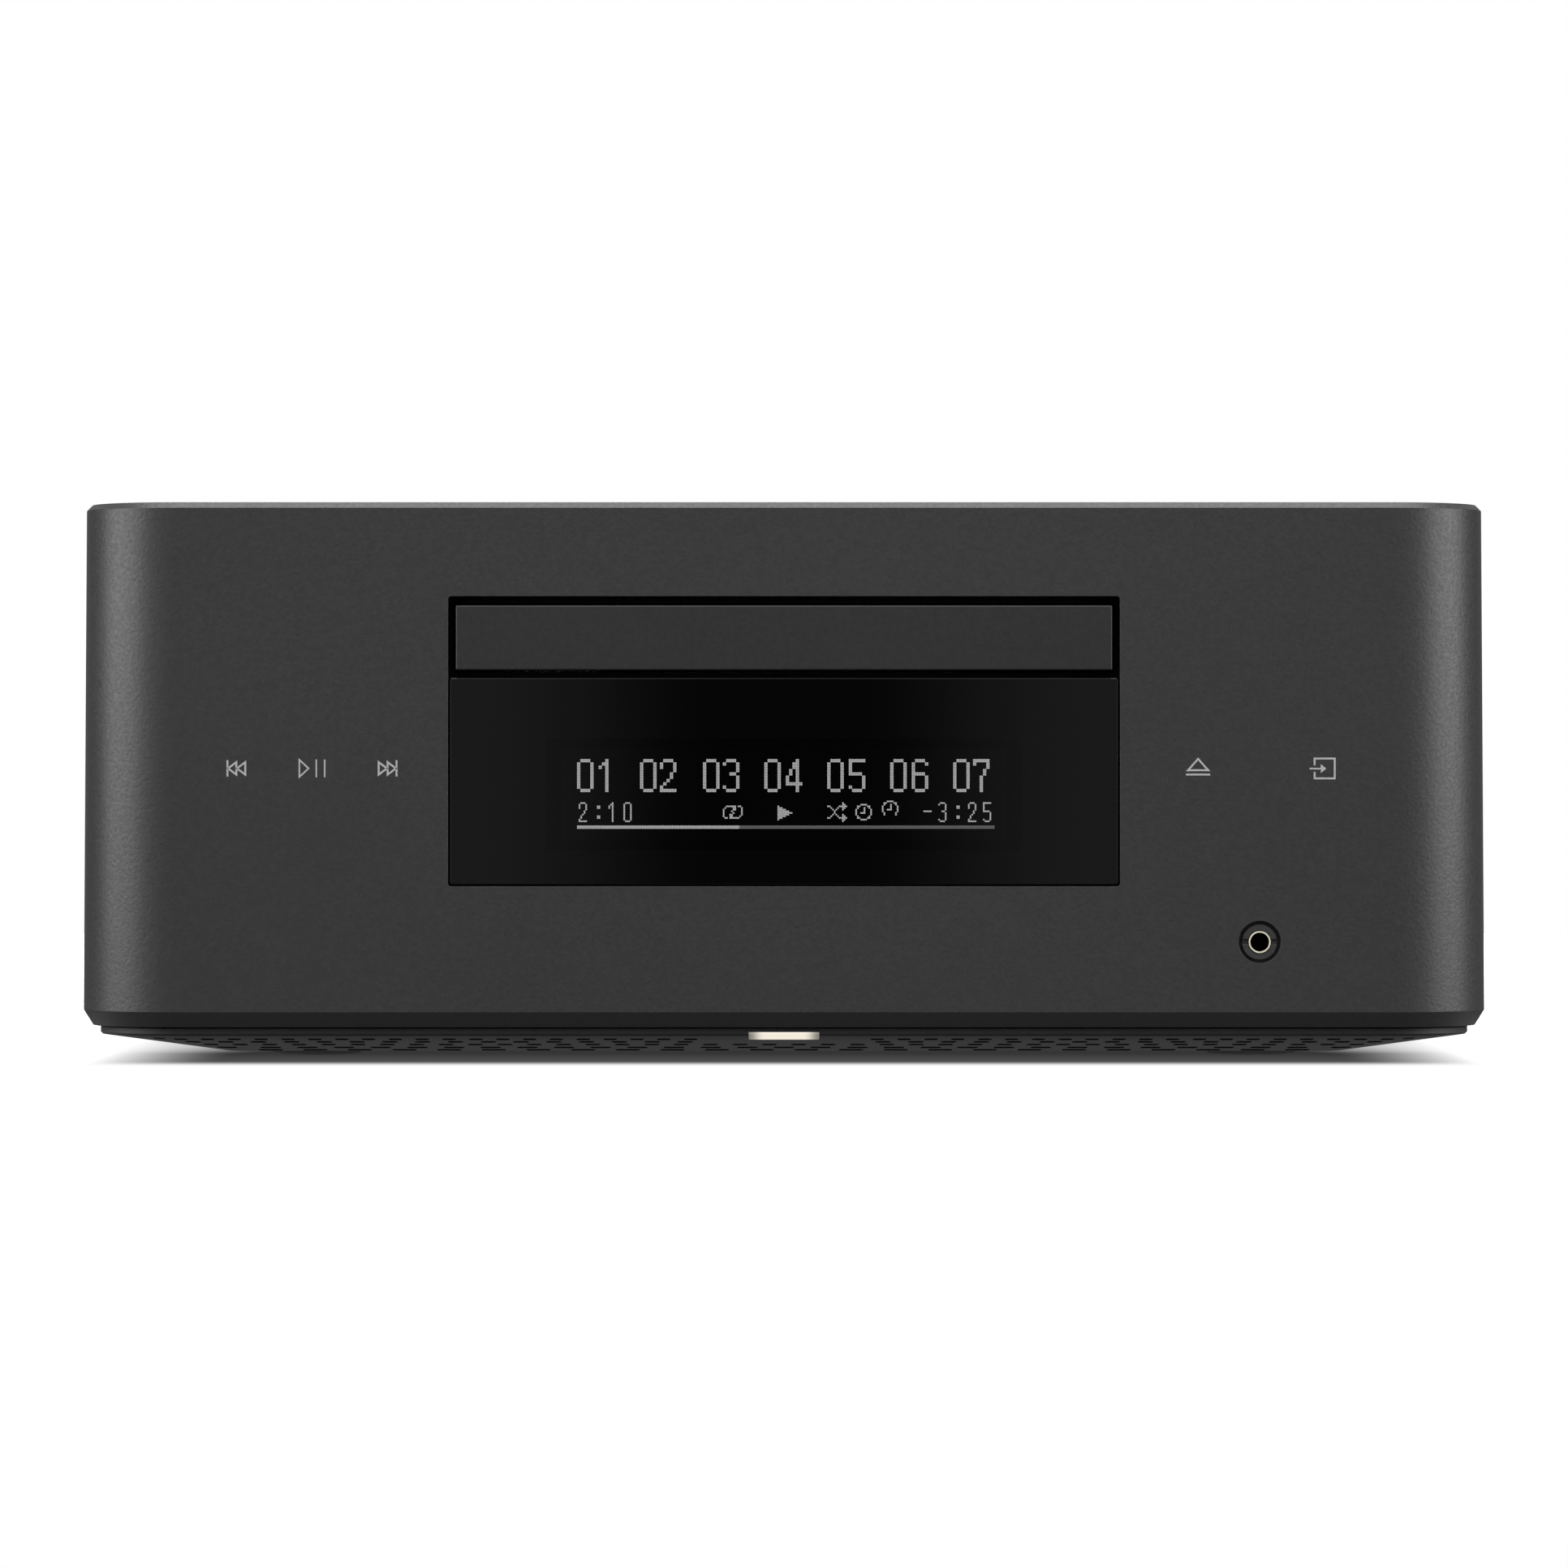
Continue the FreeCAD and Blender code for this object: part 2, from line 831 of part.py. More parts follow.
def amp_heatsink():
    x0 = terminal_x - heatsink_w / 2
    base = block(x0, x0 + heatsink_w, heatsink_y, heatsink_y + heatsink_base,
                 board_top, board_top + heatsink_h)
    pitch = (heatsink_w - heatsink_fin_t) / (heatsink_fins - 1)
    fins = [block(x0 + pitch * step, x0 + pitch * step + heatsink_fin_t,
                  heatsink_y, heatsink_y + heatsink_base + heatsink_fin_run,
                  board_top, board_top + heatsink_h) for step in range(heatsink_fins)]
    return joined([base] + fins)


def ribbon_side(offset):
    """One side of the ribbon: from the front board back, round one bend and down."""
    start = Vector(0, inner_y + front_board_run + board_t, board_top + ribbon_rise + offset)
    bend_y = inner_y + board_front_gap + ribbon_land - ribbon_bend
    bend_z = board_top + ribbon_rise - ribbon_bend
    radius = ribbon_bend + offset
    high = Vector(0, bend_y, bend_z + radius)
    middle = Vector(0, bend_y + radius * math.sqrt(0.5), bend_z + radius * math.sqrt(0.5))
    low = Vector(0, bend_y + radius, bend_z)
    end = Vector(0, bend_y + radius, board_top)
    edges = [Part.LineSegment(start, high).toShape(), Part.Arc(high, middle, low).toShape(),
             Part.LineSegment(low, end).toShape()]
    return start, end, edges


def ribbon_cable():
    start_in, end_in, inner = ribbon_side(0)
    start_out, end_out, outer = ribbon_side(ribbon_t)
    ends = [Part.LineSegment(start_in, start_out).toShape(), Part.LineSegment(end_in, end_out).toShape()]
    outline = Part.Wire(Part.__sortEdges__(inner + outer + ends))
    strip = Part.Face(outline).extrude(Vector(ribbon_w, 0, 0))
    return strip.translated(Vector(-ribbon_w / 2, 0, 0))


# Front: bay frame, window, display, touch boards and headphone socket
def bay_frame():
    margin_top = opening_top + bay_margin
    plate = block(-opening_half - bay_margin, opening_half + bay_margin, inner_y, inner_y + bay_t,
                  window_bottom - bay_margin, margin_top)
    half = cover_half + tunnel_gap
    low = cover_bottom - tunnel_gap
    high = cover_top + tunnel_gap
    tunnel = block(-half - tunnel_wall, half + tunnel_wall, inner_y, inner_y + tunnel_run,
                   low - tunnel_wall, high + tunnel_wall)
    way = block(-half, half, inner_y - wall, inner_y + tunnel_run * 2, low, high)
    sight = block(-display_w / 2 + 1, display_w / 2 - 1, inner_y - wall, inner_y + bay_t * 2,
                  display_z - display_h / 2 + 1, display_z + display_h / 2 - 1)
    return joined([plate, tunnel]).cut([way, sight])


def display_window():
    half = opening_half - fit_gap
    pane = soft_block_y(-half, half, front_y + window_sink, inner_y, window_bottom + fit_gap,
                        window_top, opening_corner_r)
    front = edges_where(pane, lambda b: b.YMax < front_y + window_sink + 1e-6)
    return pane.makeChamfer(window_chamfer, front)


def display_module():
    y = inner_y + bay_t
    glass = block(-display_w / 2, display_w / 2, y, y + display_glass_t,
                  display_z - display_h / 2, display_z + display_h / 2)
    back = block(-display_w / 2 - 3, display_w / 2 + 3, y + display_glass_t, y + display_glass_t + board_t,
                 display_z - display_h / 2 - 2, display_z + display_h / 2 + 2)
    return joined([glass, back])


def front_board():
    y = inner_y + front_board_run
    plate = block(-front_board_left, front_board_right, y, y + board_t,
                  chassis_z + boss_r, chassis_z + boss_r + front_board_h)
    return plate


def touch_boards():
    boards = []
    for side in (-1, 1):
        x = side * touch_board_x
        boards.append(block(x - touch_board_w / 2, x + touch_board_w / 2, inner_y, inner_y + board_t,
                            touch_board_z - touch_board_h / 2, touch_board_z + touch_board_h / 2))
    return Part.makeCompound(boards)


def headphone_socket():
    half = headphone_body / 2
    body = block(headphone_x - half, headphone_x + half, inner_y, inner_y + front_board_run,
                 headphone_z - half, headphone_z + half)
    bush_y = front_y + headphone_bush_sink
    bush = along_y(headphone_bush_r, headphone_x, bush_y, headphone_z, inner_y - bush_y)
    bore = along_y(headphone_bore_r, headphone_x, bush_y, headphone_z, headphone_bore_run)
    return joined([body, bush]).cut(bore)


def headphone_nut():
    y = front_y + headphone_recess - headphone_nut_t
    ring = tube_y(headphone_nut_r, headphone_bush_r + running_gap, headphone_x, y, headphone_z,
                  headphone_nut_t)
    notch_w = headphone_bush_r / 2
    notches = block(headphone_x - headphone_nut_r, headphone_x + headphone_nut_r,
                    y - fit_gap, y + headphone_nut_t / 3,
                    headphone_z - notch_w / 2, headphone_z + notch_w / 2)
    return ring.cut(notches)


# Tray and its cover
def rack_outline(z):
    """Straight-sided teeth facing +X, with a gap opposite the gear's middle tooth at rest."""
    pitch = math.pi * gear_module
    lean = math.tan(math.radians(pressure_angle)) * gear_module
    half_tooth = pitch / 4 - backlash / 4
    root = rack_x
    tip = rack_x + gear_module * (gear_dedendum + 1)
    first = int((tray_front_y + tray_nose - gear_y) / pitch) + 1
    last = int((gear_y_limit() - gear_y) / pitch)
    points = [Vector(rack_x - rack_back, gear_y + pitch * (first - 0.5), z),
              Vector(root, gear_y + pitch * (first - 0.5), z)]
    for step in range(first, last):
        centre = gear_y + pitch * (step + 0.5)
        foot_half = half_tooth + lean * gear_dedendum
        tip_half = half_tooth - lean
        points.append(Vector(root, centre - foot_half, z))
        points.append(Vector(tip, centre - tip_half, z))
        points.append(Vector(tip, centre + tip_half, z))
        points.append(Vector(root, centre + foot_half, z))
    points.append(Vector(root, gear_y + pitch * (last + 0.5), z))
    points.append(Vector(rack_x - rack_back, gear_y + pitch * (last + 0.5), z))
    return points


def gear_y_limit():
    return gear_y + tray_travel + gear_r * 1.5


def tray():
    body = block(-tray_half, tray_half, tray_front_y, tray_rear_y, tray_bottom, tray_top)
    well = along_z(well_r, 0, disc_y, well_z, well_depth * 2)
    small_well = along_z(small_disc_r, 0, disc_y, well_z - small_disc_step, well_depth)
    slot_end = along_z(tray_slot_half, 0, disc_y, tray_bottom - tray_floor, well_depth * 3)
    slot = block(-tray_slot_half, tray_slot_half, disc_y, tray_rear_y * 2 + well_r,
                 tray_bottom - tray_floor, tray_top + tray_floor)
    tail_y = disc_y + well_r * 0.8
    tail_cut = block(-well_r, well_r, tail_y, tray_rear_y * 2 + well_r, well_z, tray_top + tray_floor)
    body = body.cut([well, small_well, slot_end, slot, tail_cut])
    outline = rack_outline(rack_z)
    rack = Part.Face(Part.makePolygon(outline + outline[:1])).extrude(Vector(0, 0, rack_height))
    return joined([body, rack])


def tray_cover():
    cover = block(-cover_half, cover_half, cover_front_y, tray_front_y, cover_bottom, cover_top)
    front = edges_where(cover, lambda b: b.YMax < cover_front_y + 1e-6)
    return cover.makeChamfer(cover_chamfer, front)


# Gears, pulleys and belt
def involute(angle):
    return math.tan(angle) - angle


def polar(x, y, z, radius, angle):
    return Vector(x + radius * math.cos(angle), y + radius * math.sin(angle), z)


def gear_wheel(x, y, z, height, module, teeth, tooth_angle):
    """Involute spur gear with one tooth centred on tooth_angle, in degrees."""
    alpha = math.radians(pressure_angle)
    pitch_r = module * teeth / 2
    base_r = pitch_r * math.cos(alpha)
    tip_r = pitch_r + module * 0.9
    root_r = pitch_r - module * gear_dedendum
    half_pitch_angle = (math.pi * module / 2 - backlash / 2) / (2 * pitch_r)
    flank_start = max(base_r, root_r)
    radii = [flank_start + (tip_r - flank_start) * step / 4 for step in range(5)]

    def half_angle(radius):
        return half_pitch_angle + involute(alpha) - involute(math.acos(min(1.0, base_r / radius)))

    edges = []
    step_angle = 2 * math.pi / teeth
    for tooth in range(teeth):
        middle = math.radians(tooth_angle) + tooth * step_angle
        rising = [polar(x, y, z, r, middle - half_angle(r)) for r in radii]
        falling = [polar(x, y, z, r, middle + half_angle(r)) for r in reversed(radii)]
        for points in (rising, falling):
            curve = Part.BSplineCurve()
            curve.interpolate(points)
            edges.append(curve.toShape())
        edges.append(Part.Arc(rising[-1], polar(x, y, z, tip_r, middle), falling[0]).toShape())
        foot_half = half_angle(flank_start)
        foot_in = polar(x, y, z, root_r, middle - foot_half)
        foot_out = polar(x, y, z, root_r, middle + foot_half)
        next_in = polar(x, y, z, root_r, middle + step_angle - foot_half)
        edges.append(Part.LineSegment(foot_in, rising[0]).toShape())
        edges.append(Part.LineSegment(falling[-1], foot_out).toShape())
        gap_middle = polar(x, y, z, root_r, middle + step_angle / 2)
        edges.append(Part.Arc(foot_out, gap_middle, next_in).toShape())
    outline = Part.Wire(Part.__sortEdges__(edges))
    return Part.Face(outline).extrude(Vector(0, 0, height))


def tray_gear():
    upper_z = wheel_z + wheel_t
    lower = gear_wheel(gear_x, gear_y, wheel_z, wheel_t, wheel_module, wheel_teeth, 0)
    upper = gear_wheel(gear_x, gear_y, upper_z, gear_top - upper_z, gear_module, gear_teeth, 180)
    foot_z = shelf_z + shelf_t + slide_gap
    hub = along_z(axle_r * 2, gear_x, gear_y, foot_z, wheel_z - foot_z)
    bore = along_z(axle_r + running_gap, gear_x, gear_y, shelf_z, traverse_h * 2)
    return joined([lower, upper, hub]).cut(bore)


def pulley(x, y, z, groove_r, lip_r, height):
    rim = (height - belt - fit_gap) / 2
    disc = along_z(lip_r, x, y, z, height)
    groove = tube_z(lip_r + belt, groove_r, x, y, z + rim, height - rim * 2)
    return disc.cut(groove)


def pulley_gear():
    wheel = pulley(pinion_x, gear_y, pulley_z, pulley_groove_r, pulley_groove_r + pulley_lip, pulley_t)
    gap_angle = 180 + 180.0 / pinion_teeth
    pinion = gear_wheel(pinion_x, gear_y, pulley_z + pulley_t, wheel_z + wheel_t - pulley_z - pulley_t,
                        wheel_module, pinion_teeth, gap_angle)
    bore = along_z(axle_r + running_gap, pinion_x, gear_y, shelf_z, traverse_h * 2)
    return joined([wheel, pinion]).cut(bore)


def motor_pulley():
    wheel = pulley(motor_x, gear_y, pulley_z, motor_pulley_groove_r,
                   motor_pulley_groove_r + pulley_lip, pulley_t)
    shaft = along_z(motor_shaft_r, motor_x, gear_y, shelf_z - loading_motor_h / 2,
                    pulley_z - shelf_z + loading_motor_h / 2 + pulley_t / 2)
    return joined([wheel, shaft])


def belt_outline(z, offset):
    r_left = pulley_groove_r + belt_gap + offset
    r_right = motor_pulley_groove_r + belt_gap + offset
    lean = math.acos((r_left - r_right) / motor_offset)
    top_left = polar(pinion_x, gear_y, z, r_left, lean)
    low_left = polar(pinion_x, gear_y, z, r_left, -lean)
    top_right = polar(motor_x, gear_y, z, r_right, lean)
    low_right = polar(motor_x, gear_y, z, r_right, -lean)
    edges = [Part.LineSegment(top_left, top_right).toShape(),
             Part.Arc(top_right, polar(motor_x, gear_y, z, r_right, 0), low_right).toShape(),
             Part.LineSegment(low_right, low_left).toShape(),
             Part.Arc(low_left, polar(pinion_x, gear_y, z, r_left, math.pi), top_left).toShape()]
    return Part.Face(Part.Wire(edges))


def drive_belt():
    z = pulley_z + (pulley_t - belt) / 2
    ring = belt_outline(z, belt).cut(belt_outline(z, 0))
    return ring.extrude(Vector(0, 0, belt))


def loading_motor():
    can = along_z(loading_motor_r, motor_x, gear_y, shelf_z - loading_motor_h, loading_motor_h)
    bore = along_z(motor_shaft_r + running_gap, motor_x, gear_y,
                   shelf_z - loading_motor_h / 2 - fit_gap, loading_motor_h)
    return can.cut(bore)


# Loader frame, lift slider and clamp
def loader_frame():
    side = block(frame_half, frame_out, frame_front_y, frame_rear_y, frame_z, frame_top)
    rail_z = tray_bottom - slide_gap - lip_t
    rail = block(frame_half - rail_w, frame_half + fit_gap, frame_front_y, frame_rear_y,
                 rail_z, rail_z + lip_t)
    lip = block(frame_half - lip_w, frame_half + fit_gap, frame_front_y, frame_rear_y,
                tray_top + slide_gap, frame_top)
    flange = block(frame_out - flange_in, frame_half + fit_gap, frame_front_y, frame_rear_y,
                   frame_z, frame_z + flange_frame_t)
    web = block(traverse_half + slide_gap * 3, frame_half + fit_gap, pivot_y - pivot_web / 2,
                pivot_y + pivot_web / 2, frame_z, rail_z + lip_t)
    pieces = []
    for piece in (side, rail, lip, flange, web):
        pieces += mirrored_pair(piece)
    shelf = block(-frame_half, frame_half, frame_front_y, shelf_rear_y, shelf_z, shelf_z + shelf_t)
    shelf_wall = block(-frame_half, frame_half, shelf_rear_y - shelf_t, shelf_rear_y, frame_z, shelf_z)
    crossbar = block(-frame_half, frame_half, crossbar_y, crossbar_y + crossbar_run,
                     frame_z, frame_z + crossbar_h)
    rear_bar = block(-frame_half, frame_half, frame_rear_y - frame_tail + slide_gap, frame_rear_y,
                     frame_z, rail_z + lip_t)
    axles = [along_z(axle_r, x, gear_y, shelf_z, gear_top - shelf_z) for x in (gear_x, pinion_x)]
    body = joined(pieces + [shelf, shelf_wall, crossbar, rear_bar] + axles)
    groove = block(-frame_half, frame_half, slider_y - slide_gap, slider_y + slider_t + slide_gap,
                   slider_z - slide_gap, frame_z + crossbar_h * 2)
    pivot = along_x(pivot_r + running_gap, -frame_half, pivot_y, rod_z, frame_half * 2)
    shaft_hole = along_z(motor_pulley_groove_r, motor_x, gear_y, shelf_z - shelf_t, shelf_t * 3)
    rack_way = block(rack_x - rack_back - frame_gap, rack_x + gear_module * 3, frame_front_y - belt,
                     frame_rear_y + belt, rack_z - slide_gap, tray_bottom)
    motor_room = along_z(loading_motor_r + frame_gap, motor_x, gear_y, frame_z - shelf_t,
                         shelf_z - frame_z + shelf_t)
    return body.cut([groove, pivot, shaft_hole, rack_way, motor_room])


def cam_slot(pin_x):
    """Slanted slot that a traverse pin runs down while the slider moves to the right."""
    low = Vector(pin_x - slider_travel, slider_y - slider_t, pin_z - lift_drop)
    high = Vector(pin_x, slider_y - slider_t, pin_z)
    reach = pin_r + pin_gap
    across = Vector(lift_drop, 0, -slider_travel).normalize() * reach
    points = [low + across, high + across, high - across, low - across]
    face = Part.Face(Part.makePolygon(points + points[:1]))
    band = face.extrude(Vector(0, slider_t * 3, 0))
    ends = [along_y(reach, p.x, p.y, p.z, slider_t * 3) for p in (low, high)]
    return joined([band] + ends)


def lift_slider():
    left = -pin_spacing / 2 - slider_travel - pin_r * 3
    right = pin_spacing / 2 + pin_r * 3
    plate = block(left, right, slider_y, slider_y + slider_t, slider_z, slider_z + slider_h)
    return plate.cut([cam_slot(-pin_spacing / 2), cam_slot(pin_spacing / 2)])


def clamp_bridge():
    plate = block(-frame_out, frame_out, disc_y - bridge_half, disc_y + bridge_half,
                  frame_top, frame_top + bridge_t)
    hole = along_z(bridge_hole_r, 0, disc_y, frame_top - bridge_t, bridge_t * 3)
    ribs = [block(-frame_half, frame_half, y, y + bridge_t, frame_top, frame_top + bridge_t * 4)
            for y in (disc_y - bridge_half, disc_y + bridge_half - bridge_t)]
    return joined([plate] + ribs).cut(hole)


def clamp_puck():
    flange_low = frame_top + bridge_t + puck_float
    hub_z = disc_z + disc_t + puck_gap
    hub = along_z(puck_r, 0, disc_y, hub_z, flange_low - hub_z)
    flange = along_z(puck_flange_r, 0, disc_y, flange_low, puck_flange_t)
    recess = along_z(cone_r + cone_recess_gap, 0, disc_y, hub_z, disc_z + cone_h + puck_gap - hub_z)
    return joined([hub, flange]).cut(recess)


def mech_bracket():
    y0 = frame_front_y
    y1 = frame_rear_y
    plate = block(-bracket_half, bracket_half, y0, y1, bracket_z - bracket_t, bracket_z)
    window = block(-traverse_half, traverse_half, y0 + bracket_leg_w * 1.5, y1 - bracket_leg_w,
                   bracket_z - bracket_t * 2, bracket_z + bracket_t)
    pieces = [plate.cut(window)]
    for y in (y0, y1 - bracket_leg_w):
        leg = block(bracket_half - bracket_t, bracket_half, y, y + bracket_leg_w,
                    chassis_z, bracket_z)
        foot_plate = block(bracket_half - bracket_t, bracket_half + bracket_foot, y, y + bracket_leg_w,
                           chassis_z, chassis_z + bracket_t)
        pieces += mirrored_pair(leg) + mirrored_pair(foot_plate)
    return joined(pieces)


def loader_dampers():
    pucks = []
    for side in (-1, 1):
        for y in (frame_front_y + bracket_leg_w, frame_rear_y - bracket_leg_w):
            puck = along_z(damper_r, side * damper_x, y, bracket_z, damper_h)
            waist = tube_z(damper_r * 2, damper_r * 0.7, side * damper_x, y,
                           bracket_z + damper_h / 3, damper_h / 3)
            pucks.append(puck.cut(waist))
    return Part.makeCompound(pucks)


# Traverse: spindle, rods, screw and pickup
def sled_window():
    half_right = sled_half + slide_gap * 2
    return block(-traverse_half + traverse_wall * 2, half_right, lens_y - sled_run / 2 - slide_gap * 4,
                 sled_window_rear_y, traverse_z - traverse_wall, traverse_top + traverse_wall)


def traverse_plate():
    outer = block(-traverse_half, traverse_half, traverse_front_y, traverse_rear_y,
                  traverse_z, traverse_top)
    room = block(-traverse_half + traverse_wall, traverse_half - traverse_wall,
                 traverse_front_y + traverse_wall, traverse_rear_y - traverse_wall * 2,
                 traverse_z - traverse_wall, traverse_top - traverse_plate_t)
    shaft_hole = along_z(motor_shaft_r * 3, 0, disc_y, traverse_z, traverse_h * 2)
    body = outer.cut([room, sled_window(), shaft_hole])
    pins = [along_y(pin_r, x, slider_y - fit_gap, pin_z, traverse_front_y - slider_y + fit_gap * 2)
            for x in (-pin_spacing / 2, pin_spacing / 2)]
    pivots = [along_x(pivot_r, traverse_half - fit_gap, pivot_y, rod_z, pivot_length + fit_gap),
              along_x(pivot_r, -traverse_half - pivot_length, pivot_y, rod_z, pivot_length + fit_gap)]
    rod_holes = [along_y(rod_r + running_gap, x, traverse_front_y + traverse_wall / 2, rod_z, rod_length())
                 for x in (-rod_spacing / 2, rod_spacing / 2)]
    tail_hole = along_y(screw_core_r / 2 + running_gap, -screw_x, screw_end_y() - traverse_wall, rod_z,
                        traverse_wall * 2)
    return joined([body] + pins + pivots).cut(rod_holes + [tail_hole])


def rod_length():
    return traverse_rear_y - traverse_front_y - traverse_wall * 2


def screw_end_y():
    return traverse_rear_y - traverse_wall * 2


def guide_rods():
    return Part.makeCompound([along_y(rod_r, x, traverse_front_y + traverse_wall / 2, rod_z, rod_length())
                              for x in (-rod_spacing / 2, rod_spacing / 2)])


def spindle_motor():
    z = traverse_top - traverse_plate_t - spindle_motor_h
    can = along_z(spindle_motor_r, 0, disc_y, z, spindle_motor_h)
    bore = along_z(motor_shaft_r + running_gap, 0, disc_y, z + spindle_motor_h / 4, spindle_motor_h)
    return can.cut(bore)


def turntable():
    table = along_z(turntable_r, 0, disc_y, disc_z - turntable_t, turntable_t)
    cone = Part.makeCone(cone_r, cone_r * 0.9, cone_h, Vector(0, disc_y, disc_z))
    boss_z = traverse_top + slide_gap
    boss = along_z(turntable_boss_r, 0, disc_y, boss_z, disc_z - turntable_t - boss_z)
    shaft_z = traverse_top - traverse_plate_t - spindle_motor_h * 3 / 4 + slide_gap
    shaft = along_z(motor_shaft_r, 0, disc_y, shaft_z, boss_z - shaft_z)
    return joined([table, cone, boss, shaft])


def sled_motor():
    y = traverse_front_y + traverse_wall
    can = along_y(sled_motor_r, -screw_x, y, rod_z, sled_motor_l)
    bore = along_y(screw_core_r / 2 + running_gap, -screw_x, y + sled_motor_l / 2, rod_z, sled_motor_l)
    return can.cut(bore)


def sled_screw():
    start = traverse_front_y + traverse_wall + sled_motor_l + slide_gap
    length = screw_end_y() - slide_gap - start
    core = along_y(screw_core_r, -screw_x, start, rod_z, length)
    turns = int(length / screw_pitch)
    rings = [along_y(screw_thread_r, -screw_x, start + screw_pitch * (turn + 0.25), rod_z, screw_pitch / 2)
             for turn in range(turns)]
    journal_y = start - sled_motor_l / 2 + fit_gap
    journal = along_y(screw_core_r / 2, -screw_x, journal_y, rod_z,
                      screw_end_y() + traverse_wall / 2 - journal_y)
    return joined([core, journal] + rings)


def pickup_sled():
    y0 = lens_y - sled_run / 2
    y1 = lens_y + sled_run / 2
    body = block(-sled_half, sled_half, y0, y1, rod_z - sled_body_h / 2, rod_z + sled_body_h / 2)
    tower = soft_block_z(-sled_top_half, sled_top_half, y0, y1, rod_z, traverse_top + tray_floor, rod_r)
    finger = block(-screw_x + screw_thread_r + slide_gap, -sled_half + fit_gap, lens_y - rod_r,
                   lens_y + rod_r, rod_z - screw_core_r, rod_z + screw_core_r)
    bores = [along_y(rod_r + running_gap, x, y0 - rod_r, rod_z, sled_run * 2)
             for x in (-rod_spacing / 2, rod_spacing / 2)]
    return joined([body, tower, finger]).cut(bores)


def pickup_lens():
    z = traverse_top + tray_floor
    top = disc_z - lens_gap
    holder = soft_block_z(-lens_r * 2, lens_r * 2, lens_y - lens_r * 1.4, lens_y + lens_r * 1.4,
                          z, top - lens_r / 4, lens_r / 3)
    glass = along_z(lens_r, 0, lens_y, z, top - z)
    rim = edges_where(glass, lambda b: b.ZMin > top - 1e-6)
    return joined([holder, glass.makeFillet(lens_r / 5, rim)])


# Rear panel and its sockets
def phono_spots():
    spots = []
    for column in range(2):
        for row in range(2):
            spots.append((phono_x + column * phono_pitch, phono_z + row * phono_pitch))
    spots.append((phono_x + 2 * phono_pitch, phono_z))
    return spots


def rear_holes():
    y = panel_in_y - rear_panel_t
    run = rear_panel_t * 3
    low = board_top
    boxes = [
        (network_x, network_w, low, low + network_h),
        (usb_x, usb_w, low, low + usb_h),
        (optical_x, optical_w, low, low + optical_h),
        (inlet_x, inlet_w - terminal_block_t * 2, inlet_z - inlet_h / 2 + terminal_block_t,
         inlet_z + inlet_h / 2 - terminal_block_t),
    ]
    holes = [block(x - w / 2 - socket_gap, x + w / 2 + socket_gap, y, y + run,
                   z0 - socket_gap, z1 + socket_gap) for x, w, z0, z1 in boxes]
    holes += [along_y(phono_r + socket_gap, x, y, z, run) for x, z in phono_spots()]
    holes.append(along_y(fm_r + socket_gap, fm_x, y, fm_z, run))
    holes += [along_y(post_r + terminal_block_t + socket_gap, x, y, terminal_z, run) for x in post_spots]
    holes += [along_y(aerial_base_r / 2 + running_gap, side * aerial_x, y, aerial_z, run)
              for side in (-1, 1)]
    return holes


def rear_vents():
    slots = []
    first = -vent_pitch * (vents_in_row - 1) / 2
    for row in (0, 1):
        z = cavity_top - vent_drop - row * vent_row_pitch
        for step in range(vents_in_row):
            x = first + step * vent_pitch
            slots.append(soft_block_y(x - vent_w / 2, x + vent_w / 2, panel_in_y - rear_panel_t,
                                      panel_out_y + rear_panel_t, z - vent_h / 2, z + vent_h / 2,
                                      vent_w * 0.45))
    return slots


def rear_panel():
    half = half_w - wall - side_draft - fit_gap
    low_half = half_w - wall - flange_reach - fit_gap
    sheet = block(-half, half, panel_in_y, panel_out_y, flange_z + fit_gap, cavity_top - fit_gap)
    skirt = block(-low_half, low_half, panel_in_y, panel_out_y, lip_z, flange_z + fit_gap * 2)
    fold = block(-half + rear_flange, half - rear_flange, panel_in_y - rear_flange, panel_in_y + fit_gap,
                 chassis_z, chassis_z + rear_panel_t)
    return joined([sheet, skirt, fold]).cut(rear_holes() + rear_vents())


def terminal_block():
    left = post_spots[0] - terminal_pitch / 2
    right = post_spots[-1] + terminal_pitch / 2
    plate = soft_block_y(left, right, panel_out_y, panel_out_y + terminal_block_t,
                         terminal_z - terminal_block_h / 2, terminal_z + terminal_block_h / 2,
                         terminal_block_t)
    sleeves = [along_y(post_r + terminal_block_t, x, panel_in_y - post_bore_run / 2, terminal_z,
                       panel_out_y - panel_in_y + post_bore_run / 2 + fit_gap) for x in post_spots]
    holes = [along_y(post_r + running_gap, x, panel_in_y - post_bore_run, terminal_z, post_bore_run * 3)
             for x in post_spots]
    return joined([plate] + sleeves).cut(holes)


def terminal_posts():
    posts = []
    start = panel_in_y - post_bore_run
    for x in post_spots:
        post = along_y(post_r, x, start, terminal_z, rear_end_y - start)
        bore = along_y(post_bore_r, x, rear_end_y - post_bore_run, terminal_z, post_bore_run)
        posts.append(post.cut(bore))
    return Part.makeCompound(posts)


def terminal_cap(x):
    y0 = panel_out_y + terminal_block_t + cap_gap
    y1 = rear_end_y - cap_end
    cap = along_y(cap_r, x, y0, terminal_z, y1 - y0)
    rims = edges_where(cap, lambda b: b.YLength < 1e-6)
    cap = cap.makeChamfer(cap_groove_r, rims)
    cuts = [along_y(post_r + running_gap, x, y0 - cap_gap, terminal_z, rear_reach)]
    for step in range(cap_grooves):
        angle = 2 * math.pi * step / cap_grooves
        cuts.append(along_y(cap_groove_r, x + cap_r * math.cos(angle), y0 - cap_gap,
                            terminal_z + cap_r * math.sin(angle), rear_reach))
    return cap.cut(cuts)


